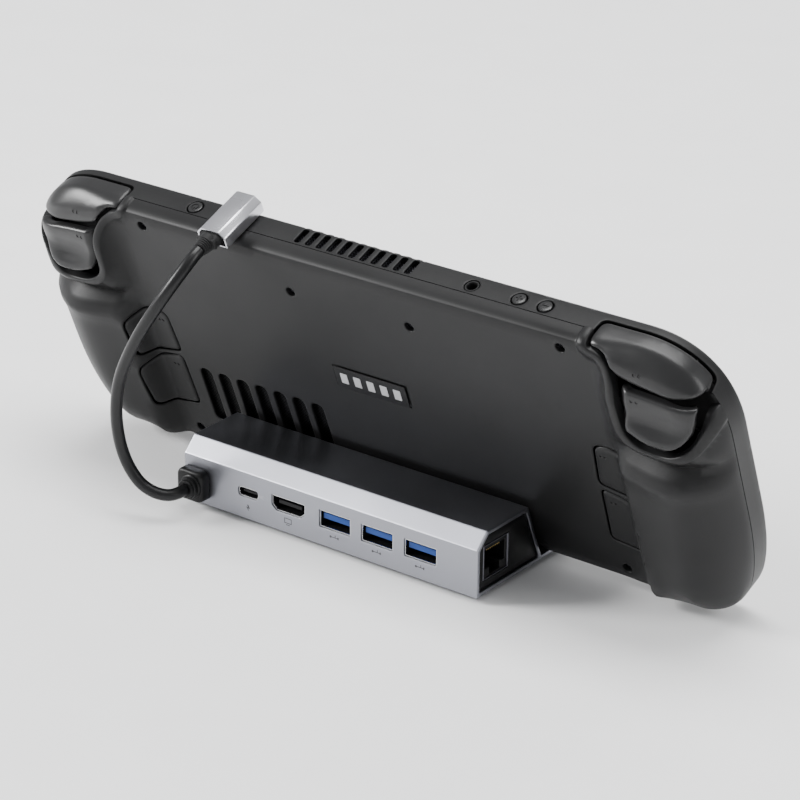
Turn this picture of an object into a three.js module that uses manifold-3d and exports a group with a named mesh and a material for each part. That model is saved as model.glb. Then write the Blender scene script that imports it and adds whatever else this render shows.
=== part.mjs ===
// Handheld game console standing in a small aluminium dock, joined to it by a short cable.
// Millimetres. +Z is up, +X is the player's right, and the screen faces -Y and leans back.
// The console is modelled upright in its own group: X across, Y from the screen to the back,
// Z from the bottom edge to the top edge. The group then leans back into the dock's cradle.
import * as THREE from 'three';
import { mergeVertices } from 'three/addons/utils/BufferGeometryUtils.js';
import Module from 'manifold-3d';

const wasm = await Module();
wasm.setup();
const { degToRad, smoothstep } = THREE.MathUtils;

// ---- Driving dimensions -------------------------------------------------------------------
const GAP = 0.3;                  // clearance between neighbouring pieces
const LEAN = degToRad(22);        // how far the console leans back
const CONSOLE_RISE = 7;           // height of the console's bottom front corner above the table

const HALF_WIDTH = 149;
const HEIGHT = 117;
const BODY_BOTTOM = 3.5;          // the middle's bottom edge, above the grips' lowest point
const FRONT_WALL = 2.2;
const WALL = 2;
const SEAM = 10;                  // depth of the joint line between front and rear shells
const PANEL = 16.5;               // depth of the flat back panel
const GRIP_RISE = 9.5;            // how far the grips stand out behind the panel
const HOUSING_RISE = 6;           // how far the trigger housings stand out behind the panel

const STICK = { x: 99, z: 93, hole: 12.8, pivot: 7.8, ball: 5.6 };
const CLUSTER = { x: 129.5, z: 95, pitch: 9.4, radius: 5 };
const DPAD = { reach: 12.5, half: 4.2 };
const TRACKPAD = { x: 113, z: 58, size: 32 };
const GLASS = { width: 163, height: 104, z: 61, depth: 1.1 };
const SMALL_BUTTON = { x: 88, z: 110.4, width: 7, height: 3.4 };
const LARGE_BUTTON = { x: 94, z: 35.5, width: 9.4, height: 4.4 };
const SPEAKER = { count: 4, first: 98, pitch: 4.2, z: 21, width: 1.8, height: 9 };
const TOP_Y = 5.9;                // depth of the row of controls along the top edge
const POWER = { x: 72, radius: 3 };
const VOLUME = { up: -69.1, down: -79.7, radius: 2.8 };
const JACK = { x: -49.7, radius: 2.9 };
const VENT = { count: 11, pitch: 4.8, width: 2.6, from: 1.9, to: 8.8 };
const INTAKE = { count: 7, first: 31, pitch: 8.8, width: 5.4, bottom: 18, top: 44 };
const PORT_X = 51.5;              // the charging socket on the top edge

const DOCK = { left: -60.5, right: 72, rear: 57.7, base: 2, wall: 1.6 };
const DOCK_MIDDLE = (DOCK.left + DOCK.right) / 2;
const DOCK_REAR_HEIGHT = 18.2;
const DOCK_BEVEL = 5.7;
const DOCK_TOP = DOCK.base + DOCK_REAR_HEIGHT + DOCK_BEVEL;
const DOCK_FLOOR = 1.6;
const BACKREST = PANEL + 1.9;     // the dock's sloping face, as a depth in the console's frame
const LIP = { inner: -1.4, outer: -3.4, top: 14 };
const PORT_Z = 12.4;              // height of the row of sockets in the dock's rear face
const CORD_RADIUS = 2.25;

// ---- Materials ----------------------------------------------------------------------------
function finish(color, roughness, metalness = 0) {
  return new THREE.MeshStandardMaterial({ color, roughness, metalness });
}
const shellPlastic = finish(0x3d3d3f, 0.62);
const controlPlastic = finish(0x4a4a4c, 0.42);
const blackPlastic = finish(0x161617, 0.5);
const rubber = finish(0x1b1b1c, 0.85);
const glass = finish(0x08090b, 0.08);
const aluminium = finish(0xb4b5bb, 0.34, 1);
const steel = finish(0xc4c6c9, 0.3, 1);
const board = finish(0x14402c, 0.6);
const cellWrap = finish(0x2a2c30, 0.7);
const copper = finish(0xb87345, 0.35, 1);

// ---- Solids and outlines ------------------------------------------------------------------
function solidOf(geometry) {
  const bare = geometry.clone();
  bare.deleteAttribute('normal');
  bare.deleteAttribute('uv');
  const merged = mergeVertices(bare, 1e-4);
  return new wasm.Manifold(new wasm.Mesh({
    numProp: 3,
    vertProperties: new Float32Array(merged.attributes.position.array),
    triVerts: new Uint32Array(merged.index.array),
  }));
}

function geometryOf(solid) {
  const { vertProperties, triVerts } = solid.getMesh();
  const geometry = new THREE.BufferGeometry();
  geometry.setAttribute('position', new THREE.BufferAttribute(new Float32Array(vertProperties), 3));
  geometry.setIndex(new THREE.BufferAttribute(new Uint32Array(triVerts), 1));
  geometry.computeVertexNormals();
  return geometry;
}

function join(...geometries) {
  return geometryOf(geometries.map(solidOf).reduce((whole, next) => whole.add(next)));
}

function cut(geometry, ...tools) {
  return geometryOf(tools.map(solidOf).reduce((whole, tool) => whole.subtract(tool), solidOf(geometry)));
}

function common(geometry, other) {
  return geometryOf(solidOf(geometry).intersect(solidOf(other)));
}

function mirrored(geometry) {
  const copy = geometry.clone().applyMatrix4(new THREE.Matrix4().makeScale(-1, 1, 1));
  const index = copy.index ? copy.index.array : [...Array(copy.attributes.position.count).keys()];
  const flipped = [];
  for (let i = 0; i < index.length; i += 3) flipped.push(index[i], index[i + 2], index[i + 1]);
  copy.setIndex(flipped);
  copy.computeVertexNormals();
  return copy;
}

function box(x0, x1, y0, y1, z0, z1) {
  return new THREE.BoxGeometry(x1 - x0, y1 - y0, z1 - z0)
    .translate((x0 + x1) / 2, (y0 + y1) / 2, (z0 + z1) / 2);
}

// A shape pushed along one axis. The shape's own axes are (y, z) along x, (x, z) along y
// and (x, y) along z.
function prism(shape, axis, from, to, curveSegments = 2) {
  const geometry = new THREE.ExtrudeGeometry(shape, { depth: to - from, bevelEnabled: false, curveSegments });
  if (axis === 'z') return geometry.translate(0, 0, from);
  if (axis === 'y') return geometry.rotateX(Math.PI / 2).translate(0, to, 0);
  const turn = new THREE.Matrix4().makeBasis(
    new THREE.Vector3(0, 1, 0), new THREE.Vector3(0, 0, 1), new THREE.Vector3(1, 0, 0));
  return geometry.applyMatrix4(turn).translate(from, 0, 0);
}

function polygon(...corners) {
  return new THREE.Shape(corners.map(([a, b]) => new THREE.Vector2(a, b)));
}

// Four quarter arcs, one round each corner of a rectangle.
function roundedRect(width, height, radius, a = 0, b = 0) {
  const x = width / 2 - radius;
  const y = height / 2 - radius;
  const shape = new THREE.Shape();
  [[x, y], [-x, y], [-x, -y], [x, -y]].forEach(([dx, dy], i) => {
    shape.absarc(a + dx, b + dy, radius, (i * Math.PI) / 2, ((i + 1) * Math.PI) / 2);
  });
  return shape;
}

function disc(a, b, radius) {
  return roundedRect(2 * radius, 2 * radius, radius, a, b);
}

function cross(reach, half) {
  return polygon([half, reach], [-half, reach], [-half, half], [-reach, half], [-reach, -half], [-half, -half],
    [-half, -reach], [half, -reach], [half, -half], [reach, -half], [reach, half], [half, half]);
}

// ---- The console's outer form -------------------------------------------------------------
// Right half of the outline seen from the front, from the bottom centre up to the top centre.
function halfOutline() {
  const path = new THREE.Path();
  path.moveTo(0, BODY_BOTTOM);
  path.lineTo(92, BODY_BOTTOM);
  path.bezierCurveTo(106, BODY_BOTTOM, 112, 0, 127, 0);
  path.bezierCurveTo(143, 0, HALF_WIDTH, 22, HALF_WIDTH, 50);
  path.lineTo(HALF_WIDTH, 84);
  path.bezierCurveTo(HALF_WIDTH, 104, 138, HEIGHT, 118, HEIGHT);
  path.lineTo(0, HEIGHT);
  return path.curves.flatMap((curve, i) => curve.getPoints(curve.isLineCurve ? 3 : 6).slice(i ? 1 : 0));
}

function fullOutline() {
  const right = halfOutline();
  const left = right.slice(1, -1).reverse().map((p) => new THREE.Vector2(-p.x, p.y));
  return [...right, ...left];
}
const outline = fullOutline();

function insetOutline(distance) {
  return outline.map((p, i) => {
    const before = outline[(i + outline.length - 1) % outline.length];
    const after = outline[(i + 1) % outline.length];
    const along = after.clone().sub(before).normalize();
    return new THREE.Vector2(p.x - along.y * distance, p.y + along.x * distance);
  });
}

function distanceToLoop(p, loop) {
  let nearest = Infinity;
  for (let i = 0; i < loop.length; i++) {
    const a = loop[i];
    const edge = loop[(i + 1) % loop.length].clone().sub(a);
    const along = THREE.MathUtils.clamp(p.clone().sub(a).dot(edge) / edge.lengthSq(), 0, 1);
    nearest = Math.min(nearest, p.distanceTo(a.clone().addScaledVector(edge, along)));
  }
  return nearest;
}

// Depth of the back surface: a flat panel between two grips, with a trigger housing above each
// grip and a finger groove between them. Each grip stands up from the panel in a steep flank.
// The whole rounds down to the seam along the outline.
function backDepth(p, edgeDistance, thinner) {
  const across = Math.abs(p.x);
  const outer = smoothstep(across, 101, 127);
  const flank = 0.8 * smoothstep(across, 104, 112) + 0.2 * smoothstep(across, 110, 130);
  const grip = GRIP_RISE * flank * (1 - smoothstep(p.y, 68, 76)) * (0.78 + 0.22 * smoothstep(p.y, 0, 40));
  const housing = HOUSING_RISE * smoothstep(across, 103, 112) * smoothstep(p.y, 73, 83)
    * (1 - smoothstep(p.y, 98, 116));
  const groove = 2.5 * outer * smoothstep(p.y, 60, 74) * (1 - smoothstep(p.y, 76, 90));
  const crown = PANEL + grip + housing + groove - thinner;
  const rounding = 2.5 + outer * (15 - 8 * smoothstep(p.y, 84, 104));
  const k = 1 - Math.min(edgeDistance / rounding, 1);
  return SEAM + (crown - SEAM) * Math.sqrt(1 - k * k);
}

const RING_STEPS = [0.03, 0.07, 0.14, 0.23, 0.34, 0.44, 0.5, 0.56, 0.63, 0.8];

// A closed body inside the outline: loops along the front edge, the seam, then rings that
// close in over the back surface. thinner lowers the back for the hollow inside.
function bodyForm(frontLoops, inset, thinner) {
  const rim = insetOutline(inset);
  const rings = frontLoops.map(([offset, y]) => insetOutline(offset).map((p) => [p.x, y, p.y]));
  rings.push(rim.map((p) => [p.x, SEAM, p.y]));
  for (const t of RING_STEPS) {
    rings.push(rim.map((p) => {
      const middle = new THREE.Vector2(THREE.MathUtils.clamp(p.x, -70, 70), 60);
      const q = p.clone().lerp(middle, t);
      return [q.x, backDepth(q, distanceToLoop(q, rim), thinner), q.y];
    }));
  }
  const count = rim.length;
  const index = [];
  for (let r = 0; r + 1 < rings.length; r++) {
    for (let i = 0; i < count; i++) {
      const j = (i + 1) % count;
      const [a, b, c, d] = [r * count + i, r * count + j, (r + 1) * count + j, (r + 1) * count + i];
      index.push(a, c, b, a, d, c);
    }
  }
  const flat = (ring) => ring.map(([x, , z]) => new THREE.Vector2(x, z));
  const last = (rings.length - 1) * count;
  for (const [a, b, c] of THREE.ShapeUtils.triangulateShape(flat(rings[0]), [])) index.push(a, b, c);
  for (const [a, b, c] of THREE.ShapeUtils.triangulateShape(flat(rings.at(-1)), [])) {
    index.push(last + a, last + c, last + b);
  }
  const geometry = new THREE.BufferGeometry();
  geometry.setAttribute('position', new THREE.Float32BufferAttribute(rings.flat(2), 3));
  geometry.setIndex(index);
  return geometry;
}

const envelope = bodyForm([[2, 0], [0.6, 0.6], [0, 2.2]], 0, 0);
const hollow = bodyForm([[WALL, FRONT_WALL]], WALL, WALL);
const skin = cut(envelope, hollow);
const thinHollow = bodyForm([[WALL, FRONT_WALL]], WALL + 0.2, WALL + 0.2);
const thickSkin = cut(envelope, thinHollow);

// ---- Openings in the shells, as seen from the front, on the player's right -----------------
// The bumper's opening drops towards the side, where the bumper's tip travels furthest.
const BUMPER_FRONT = 4.3;
const BUMPER_TRAVEL = 0.85;
function bumperRegion(grow, drop = 0) {
  const low = 104.6 - grow - drop;
  const arm = prism(polygon([101.8 - grow, 124], [101.8 - grow, 114.7 - grow], [113, 114.7 - grow], [113, 124]),
    'y', BUMPER_FRONT - grow, 12 + grow);
  const wing = prism(polygon([108.6 - grow, 124], [108.6 - grow, 113.4 - grow], [112.6 - grow, 108.4 - grow - 0.1 * drop],
    [120, 106.2 - grow - 0.4 * drop], [140, low], [160, low], [160, 124]), 'y', BUMPER_FRONT - grow, 40);
  return join(arm, wing);
}

function triggerShape(grow, drop) {
  const shape = new THREE.Shape();
  shape.moveTo(114.6 - grow, 105.2 + grow / 2);
  shape.lineTo(145.8 + grow, 101.6 + grow / 2);
  shape.quadraticCurveTo(146.4 + grow, 93 - drop, 138 + grow, 88 - drop);
  shape.quadraticCurveTo(131, 84.6 - drop, 121 - grow, 86 - drop);
  shape.quadraticCurveTo(114.8 - grow, 87.5 - drop, 114.6 - grow, 94);
  return shape;
}

const PADDLES = {
  upper: [[93, 49.4], [110.2, 46.4], [112, 64], [103.4, 69.4], [94.4, 68.6]],
  lower: [[92.6, 23], [110.6, 20.6], [112.4, 41], [103.4, 46], [93.4, 47.6]],
};

function shrunk(corners, distance) {
  const centre = corners.reduce(([a, b], [x, z]) => [a + x / corners.length, b + z / corners.length], [0, 0]);
  return corners.map(([x, z]) => {
    const reach = Math.hypot(x - centre[0], z - centre[1]);
    const keep = 1 - distance / reach;
    return [centre[0] + (x - centre[0]) * keep, centre[1] + (z - centre[1]) * keep];
  });
}

function bothSides(tools) {
  return tools.flatMap((tool) => [tool, mirrored(tool)]);
}

const bumperOpenings = bothSides([bumperRegion(GAP + 0.1, BUMPER_TRAVEL)]);
const SCREWS = [[91, 111], [26, 99.5], [97, 10], [30, 10]];

function frontShell() {
  const half = common(skin, box(-160, 160, -1, SEAM - GAP / 2, -5, 125));
  const face = (shape) => prism(shape, 'y', -1, FRONT_WALL + 1);
  const top = (shape) => prism(shape, 'z', HEIGHT - WALL - 2, HEIGHT + 1);
  const pillHole = ({ x, z, width, height }) => (
    face(roundedRect(width + 0.8, height + 0.8, height / 2 + 0.3, x, z)));
  const paired = [
    face(disc(STICK.x, STICK.z, STICK.hole)),
    face(roundedRect(TRACKPAD.size + 0.8, TRACKPAD.size + 0.8, 3, TRACKPAD.x, TRACKPAD.z)),
    pillHole(SMALL_BUTTON),
    pillHole(LARGE_BUTTON),
  ];
  for (let i = 0; i < SPEAKER.count; i++) {
    const { first, pitch, z, width, height } = SPEAKER;
    paired.push(face(roundedRect(width, height, width / 2 - 0.05, first + i * pitch, z)));
  }
  const single = [
    prism(roundedRect(GLASS.width + 0.6, GLASS.height + 0.6, 4, 0, GLASS.z), 'y', -1, GLASS.depth + GAP),
    face(roundedRect(152, 95, 2, 0, GLASS.z)),
    prism(cross(DPAD.reach + 0.5, DPAD.half + 0.5), 'y', -1, FRONT_WALL + 1).translate(-CLUSTER.x, 0, CLUSTER.z),
    top(disc(POWER.x, TOP_Y, POWER.radius + GAP)),
    top(disc(VOLUME.up, TOP_Y, VOLUME.radius + GAP)),
    top(disc(VOLUME.down, TOP_Y, VOLUME.radius + GAP)),
    top(disc(JACK.x, TOP_Y, JACK.radius + GAP)),
    top(roundedRect(10.2, 4.4, 2, PORT_X, TOP_Y)),
  ];
  for (const [dx, dz] of [[1, 0], [-1, 0], [0, 1], [0, -1]]) {
    single.push(face(disc(CLUSTER.x + dx * CLUSTER.pitch, CLUSTER.z + dz * CLUSTER.pitch, CLUSTER.radius + 0.45)));
  }
  for (let i = 0; i < VENT.count; i++) {
    const x = (i - (VENT.count - 1) / 2) * VENT.pitch;
    single.push(box(x - VENT.width / 2, x + VENT.width / 2, VENT.from, VENT.to, HEIGHT - WALL - 2, HEIGHT + 1));
  }
  return cut(half, ...bothSides(paired), ...single, ...bumperOpenings);
}

function rearCover() {
  const half = common(skin, box(-160, 160, SEAM + GAP / 2, 60, -5, 125));
  const openings = [
    prism(triggerShape(0.5, 2.4), 'y', SEAM, 50, 4),
    ...Object.values(PADDLES).map((corners) => prism(polygon(...corners), 'y', SEAM + 1, 50)),
    ...SCREWS.map(([x, z]) => new THREE.CylinderGeometry(2.3, 2.3, 4, 10).translate(x, PANEL + 0.8, z)),
  ];
  const intake = [];
  for (let i = 0; i < INTAKE.count; i++) {
    const middle = (INTAKE.bottom + INTAKE.top) / 2;
    const shape = roundedRect(INTAKE.width, INTAKE.top - INTAKE.bottom, 2.6, INTAKE.first + i * INTAKE.pitch, middle);
    intake.push(prism(shape, 'y', SEAM + 1, 30));
  }
  return cut(half, ...bothSides(openings), ...intake, ...bumperOpenings);
}

// ---- Moving controls ----------------------------------------------------------------------
function bumper() {
  return common(thickSkin, bumperRegion(0));
}

// The trigger's face is a piece of the housing's surface, carried by an arm on a pivot barrel.
const TRIGGER_AXIS = { y: 11.2, z: 106.2 };
function trigger() {
  const face = common(thickSkin, prism(triggerShape(0, 0), 'y', SEAM + 2, 50, 4));
  const arm = prism(polygon([10, 106], [12.6, 105.4], [16.4, 102.4], [24, 101], [24, 95], [14, 97.6]), 'x', 121, 134);
  const barrel = new THREE.CylinderGeometry(1.5, 1.5, 16, 12).rotateZ(Math.PI / 2)
    .translate(126, TRIGGER_AXIS.y, TRIGGER_AXIS.z);
  return join(face, common(arm, envelope), barrel);
}

function paddle(corners) {
  return common(thickSkin, prism(polygon(...shrunk(corners, 0.5)), 'y', SEAM + 2, 50));
}

function roundButton(radius, height, flange = 0.6) {
  return new THREE.LatheGeometry([
    [0, 0], [radius + flange, 0], [radius + flange, 0.8], [radius, 0.8], [radius, height - 0.6],
    [radius - 0.6, height], [0, height],
  ].map(([r, h]) => new THREE.Vector2(r, h)), 16);
}

function pillButton({ width, height }) {
  const depth = 4;
  return join(
    prism(roundedRect(width, height, height / 2 - 0.05), 'y', 0, depth),
    prism(roundedRect(width + 1.2, height + 1.2, height / 2), 'y', depth - 1, depth));
}

function stickModule() {
  const half = 11;
  const body = prism(roundedRect(2 * half, 2 * half, 2), 'y', 3.6, 14.2);
  const well = new THREE.CylinderGeometry(9.4, 9.4, 12, 24).translate(0, 7.7, 0);
  return cut(body, well);
}

function stickYoke() {
  return cut(new THREE.CylinderGeometry(7.6, 7.6, 2.4, 16), new THREE.CylinderGeometry(6.2, 6.2, 4, 16));
}

function thumbstick() {
  const ball = new THREE.SphereGeometry(STICK.ball, 12, 8);
  const shaft = new THREE.CylinderGeometry(3.2, 3.2, 14, 12).translate(0, -8, 0);
  const cap = new THREE.LatheGeometry([
    [0, 0], [5, 0], [8.3, 1.2], [8.7, 2.4], [8.3, 3.8], [6.2, 4.2], [5.2, 3.6], [0, 3.2],
  ].map(([r, h]) => new THREE.Vector2(r, h)), 18).rotateX(Math.PI).translate(0, -12.6, 0);
  return join(ball, shaft, cap);
}

// ---- Inside the console -------------------------------------------------------------------
function fanRotor() {
  const blades = [];
  for (let i = 0; i < 9; i++) {
    blades.push(box(5, 18, 0, 4.2, -0.5, 0.5).rotateY((i / 9) * 2 * Math.PI));
  }
  return join(new THREE.CylinderGeometry(7.5, 7.5, 4.8, 20).translate(0, 2.4, 0), ...blades);
}

function fanHousing() {
  const body = prism(roundedRect(46, 46, 20), 'y', 0, 7.2);
  const room = prism(disc(0, 0, 20), 'y', 1, 8);
  const outlet = box(-14, 14, 1, 6.2, 10, 30);
  return cut(body, room, outlet);
}

function heatSink() {
  const fins = [box(-26, 26, 0, 1, 0, 10)];
  for (let i = 0; i < 14; i++) fins.push(box(-26 + i * 3.9, -24.7 + i * 3.9, 0.5, 5.6, 0, 10));
  return join(...fins);
}

// ---- The dock -----------------------------------------------------------------------------
// A point of the console's section, (depth, height), placed in the dock's (y, z).
function leaned(depth, height) {
  return [
    height * Math.sin(LEAN) + depth * Math.cos(LEAN),
    CONSOLE_RISE + height * Math.cos(LEAN) - depth * Math.sin(LEAN),
  ];
}

// Where a line of fixed depth in the console's section crosses a level in the dock.
function depthLineAt(depth, z) {
  return leaned(depth, (z - CONSOLE_RISE + depth * Math.sin(LEAN)) / Math.cos(LEAN));
}

const floorTop = DOCK.base + DOCK_FLOOR;
function dockProfile() {
  return polygon(
    [DOCK.rear, DOCK.base], [DOCK.rear, DOCK.base + DOCK_REAR_HEIGHT], [DOCK.rear - DOCK_BEVEL, DOCK_TOP],
    depthLineAt(BACKREST, DOCK_TOP), depthLineAt(BACKREST, floorTop), depthLineAt(LIP.inner, floorTop),
    leaned(LIP.inner, LIP.top), leaned(LIP.outer, LIP.top), depthLineAt(LIP.outer, DOCK.base));
}

function chamber(inset) {
  const w = DOCK.wall + inset;
  return polygon(
    [DOCK.rear - w, DOCK.base + w], [DOCK.rear - w, DOCK.base + DOCK_REAR_HEIGHT - 0.4 * w],
    [DOCK.rear - DOCK_BEVEL - 0.4 * w, DOCK_TOP - w],
    depthLineAt(BACKREST + w, DOCK_TOP - w), depthLineAt(BACKREST + w, DOCK.base + w));
}

const REAR_PORTS = {
  power_port: { x: 41.9, width: 9.6, height: 4 },
  video_port: { x: 23.3, width: 15.4, height: 6 },
  data_port_1: { x: 2.1, width: 14.2, height: 6.8 },
  data_port_2: { x: -16.8, width: 14.2, height: 6.8 },
  data_port_3: { x: -35.9, width: 14.2, height: 6.8 },
};
const NETWORK = { y: 45.4, z: 13.4, width: 15, height: 13.4 };

function dockShell() {
  const body = prism(dockProfile(), 'x', DOCK.left, DOCK.right);
  const tools = [prism(chamber(0), 'x', DOCK.left - 1, DOCK.right + 1)];
  for (const { x, width, height } of Object.values(REAR_PORTS)) {
    tools.push(prism(roundedRect(width + 0.7, height + 0.7, 0.5, x, PORT_Z), 'y', DOCK.rear - 4, DOCK.rear + 1));
  }
  return cut(body, ...tools);
}

function endCap(side) {
  const outer = side < 0 ? DOCK.left + 0.8 : DOCK.right - 0.8;
  const inner = outer - side * 3;
  const plate = prism(chamber(GAP), 'x', Math.min(outer, inner), Math.max(outer, inner));
  if (side > 0) return plate;
  const { y, z, width, height } = NETWORK;
  return cut(plate, box(outer - 2, inner + 2, y - width / 2 - GAP, y + width / 2 + GAP,
    z - height / 2 - GAP, z + height / 2 + GAP));
}

// A socket: a can with an open mouth and a tongue standing in it. The mouth faces +Y.
function socket({ width, height }, depth, tongue) {
  const can = box(-width / 2, width / 2, -depth, 0, -height / 2, height / 2);
  const mouth = box(-width / 2 + 0.7, width / 2 - 0.7, -depth + 1.5, 1, -height / 2 + 0.7, height / 2 - 0.7);
  const blade = box(-tongue.width / 2, tongue.width / 2, -depth + 1, -1, tongue.low, tongue.high);
  return join(cut(can, mouth), blade);
}

const TONGUES = {
  power_port: { width: 6.6, low: -0.35, high: 0.35 },
  video_port: { width: 11, low: -0.5, high: 0.6 },
  data_port: { width: 11.4, low: 0.1, high: 1.8 },
};

// The cable leaves the dock's rear corner, loops outward and up, and reaches the plug from
// behind. The points are in the dock's frame, before the whole is centred.
const CORD_ROUTE = [
  [65, 66.4, 10.2], [65.1, 69.4, 10.1], [66.6, 73, 10.1], [70.2, 76, 11.2], [75, 78, 14], [79.3, 79.3, 19.5],
  [82, 80.5, 27], [82.6, 82, 36.5], [81, 83.8, 47], [77.4, 85.4, 58], [72, 86.6, 68.5], [65.8, 87, 79],
  [59.6, 86, 88.8], [54.8, 83, 97.4], [52.3, 78.6, 103.4], [51.6, 74.8, 106.6], [51.5, 71.55, 108.27],
];

function cable(points, radius) {
  const curve = new THREE.CatmullRomCurve3(points.map((p) => new THREE.Vector3(...p)), false, 'centripetal');
  const section = new THREE.Shape();
  const sides = 10;
  for (let i = 0; i < sides; i++) {
    const turn = (i / sides) * 2 * Math.PI;
    const [a, b] = [radius * Math.cos(turn), radius * Math.sin(turn)];
    if (i) section.lineTo(a, b);
    else section.moveTo(a, b);
  }
  return new THREE.ExtrudeGeometry(section, { extrudePath: curve, steps: 44, bevelEnabled: false });
}

// ---- Assembly -----------------------------------------------------------------------------
function place(group, name, geometry, material, x = 0, y = 0, z = 0) {
  const mesh = new THREE.Mesh(geometry, material);
  mesh.name = name;
  mesh.position.set(x, y, z);
  group.add(mesh);
  return mesh;
}

function addShells(group) {
  place(group, 'front_shell', frontShell(), shellPlastic);
  place(group, 'rear_cover', rearCover(), shellPlastic);
  place(group, 'display_glass', prism(roundedRect(GLASS.width, GLASS.height, 3.8), 'y', 0.05, GLASS.depth),
    glass, 0, 0, GLASS.z);
  place(group, 'display_panel', box(-75, 75, 0, 2.8, -46.5, 44.5), blackPlastic, 0, 1.6, GLASS.z);
  place(group, 'midframe', box(-84, 84, 0, 0.9, -50, 46), steel, 0, 4.9, 58);
  place(group, 'nameplate', box(-16, 16, 0, 0.5, -4.9, 4.9), controlPlastic, 0, PANEL + GAP, 63.6);
  for (const [side, name] of [[-1, 'left'], [1, 'right']]) {
    const pad = prism(roundedRect(TRACKPAD.size, TRACKPAD.size, 2.6), 'y', 0.2, 2.8);
    place(group, `${name}_trackpad`, pad, controlPlastic, side * TRACKPAD.x, 0, TRACKPAD.z);
  }
}

function addElectronics(group) {
  place(group, 'main_board', box(-82, 24, 0, 1.2, -19, 19), board, 0, 6.4, 80);
  place(group, 'battery', box(-52, 52, 0, 6.6, -22, 22), cellWrap, -28, 6.4, 34);
  place(group, 'heat_sink', heatSink(), copper, 0, 6.4, 102.4);
  place(group, 'fan_housing', fanHousing(), blackPlastic, 53, 6.4, 34);
  place(group, 'fan_rotor', fanRotor(), blackPlastic, 53, 7.9, 34);
  const receptacle = prism(roundedRect(9.6, 3.9, 1.6), 'z', 108.2, 115.8);
  const mouth = prism(roundedRect(8.9, 3.1, 1.4), 'z', 109, 117);
  place(group, 'charging_socket', cut(receptacle, mouth), steel, PORT_X, TOP_Y, 0);
  const barrel = new THREE.CylinderGeometry(JACK.radius, JACK.radius, 9, 16).rotateX(Math.PI / 2)
    .translate(0, 0, 111.8);
  const bore = new THREE.CylinderGeometry(1.8, 1.8, 9, 12).rotateX(Math.PI / 2).translate(0, 0, 113);
  place(group, 'headphone_jack', cut(barrel, bore), blackPlastic, JACK.x, TOP_Y, 0);
}

function addControls(group) {
  const sides = [[-1, 'left'], [1, 'right']];
  const handed = (side, geometry) => (side > 0 ? geometry : mirrored(geometry));
  for (const [side, name] of sides) {
    place(group, `${name}_bumper`, handed(side, bumper()), controlPlastic);
    place(group, `${name}_trigger`, handed(side, trigger()), controlPlastic);
    place(group, `${name}_upper_paddle`, handed(side, paddle(PADDLES.upper)), shellPlastic);
    place(group, `${name}_lower_paddle`, handed(side, paddle(PADDLES.lower)), shellPlastic);
    place(group, `${name}_stick_module`, stickModule(), blackPlastic, side * STICK.x, 0, STICK.z);
    place(group, `${name}_stick_yoke`, stickYoke(), steel, side * STICK.x, STICK.pivot, STICK.z);
    place(group, `${name}_thumbstick`, thumbstick(), rubber, side * STICK.x, STICK.pivot, STICK.z);
  }
  place(group, 'dpad', prism(cross(DPAD.reach, DPAD.half), 'y', -1.6, 2), blackPlastic, -CLUSTER.x, 0, CLUSTER.z);
  const pivot = new THREE.LatheGeometry([[0, 0], [3.6, 0], [3.6, 1], [1.4, 2.6], [0, 2.6]]
    .map(([r, h]) => new THREE.Vector2(r, h)), 16).rotateX(Math.PI);
  place(group, 'dpad_pivot', pivot, rubber, -CLUSTER.x, 5, CLUSTER.z);
  const faceButtons = { upper: [0, 1], lower: [0, -1], inner: [-1, 0], outer: [1, 0] };
  for (const [name, [dx, dz]] of Object.entries(faceButtons)) {
    place(group, `${name}_face_button`, roundButton(CLUSTER.radius, 5.2).rotateX(Math.PI), controlPlastic,
      CLUSTER.x + dx * CLUSTER.pitch, 3.6, CLUSTER.z + dz * CLUSTER.pitch);
  }
  for (const [side, small, large] of [[-1, 'view_button', 'system_button'], [1, 'menu_button', 'quick_button']]) {
    place(group, small, pillButton(SMALL_BUTTON), blackPlastic, side * SMALL_BUTTON.x, -0.5, SMALL_BUTTON.z);
    place(group, large, pillButton(LARGE_BUTTON), blackPlastic, side * LARGE_BUTTON.x, -0.5, LARGE_BUTTON.z);
  }
  const topButton = (name, x, radius) => {
    const geometry = roundButton(radius, 3.2, 0.4).rotateX(Math.PI / 2);
    place(group, name, geometry, controlPlastic, x, TOP_Y, HEIGHT - 3);
  };
  topButton('power_button', POWER.x, POWER.radius);
  topButton('volume_up_button', VOLUME.up, VOLUME.radius);
  topButton('volume_down_button', VOLUME.down, VOLUME.radius);
}

const PLUG = { front: -1, back: 21, half: 6.3, low: HEIGHT + 0.4, shoulder: 121.8, top: 124, chamfer: 2.3 };
function plugSection(inset) {
  const half = PLUG.half - inset;
  return polygon([-half, PLUG.low + inset], [half, PLUG.low + inset], [half, PLUG.shoulder - inset / 2],
    [half - PLUG.chamfer, PLUG.top - inset], [PLUG.chamfer - half, PLUG.top - inset],
    [-half, PLUG.shoulder - inset / 2]);
}

function addPlug(group) {
  const sleeve = cut(prism(plugSection(0), 'y', PLUG.front, PLUG.back), prism(plugSection(0.8), 'y', 10, 30));
  place(group, 'plug_housing', sleeve, aluminium, PORT_X);
  const tip = prism(roundedRect(8.3, 2.5, 1.2), 'z', 109.4, HEIGHT + 0.1);
  place(group, 'plug_tip', tip, steel, PORT_X, TOP_Y, 0);
  const middle = (PLUG.low + PLUG.top) / 2;
  const core = prism(roundedRect(8.6, 4.4, 1.6, 0, middle), 'y', 11, 24.6);
  const neck = new THREE.LatheGeometry([[0, 0], [2.5, 0], [3.3, 4], [3.3, 6], [0, 6]]
    .map(([r, h]) => new THREE.Vector2(r, h)), 16).rotateX(Math.PI).translate(0, 28, middle);
  place(group, 'plug_boot', join(core, neck), blackPlastic, PORT_X);
}

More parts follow.
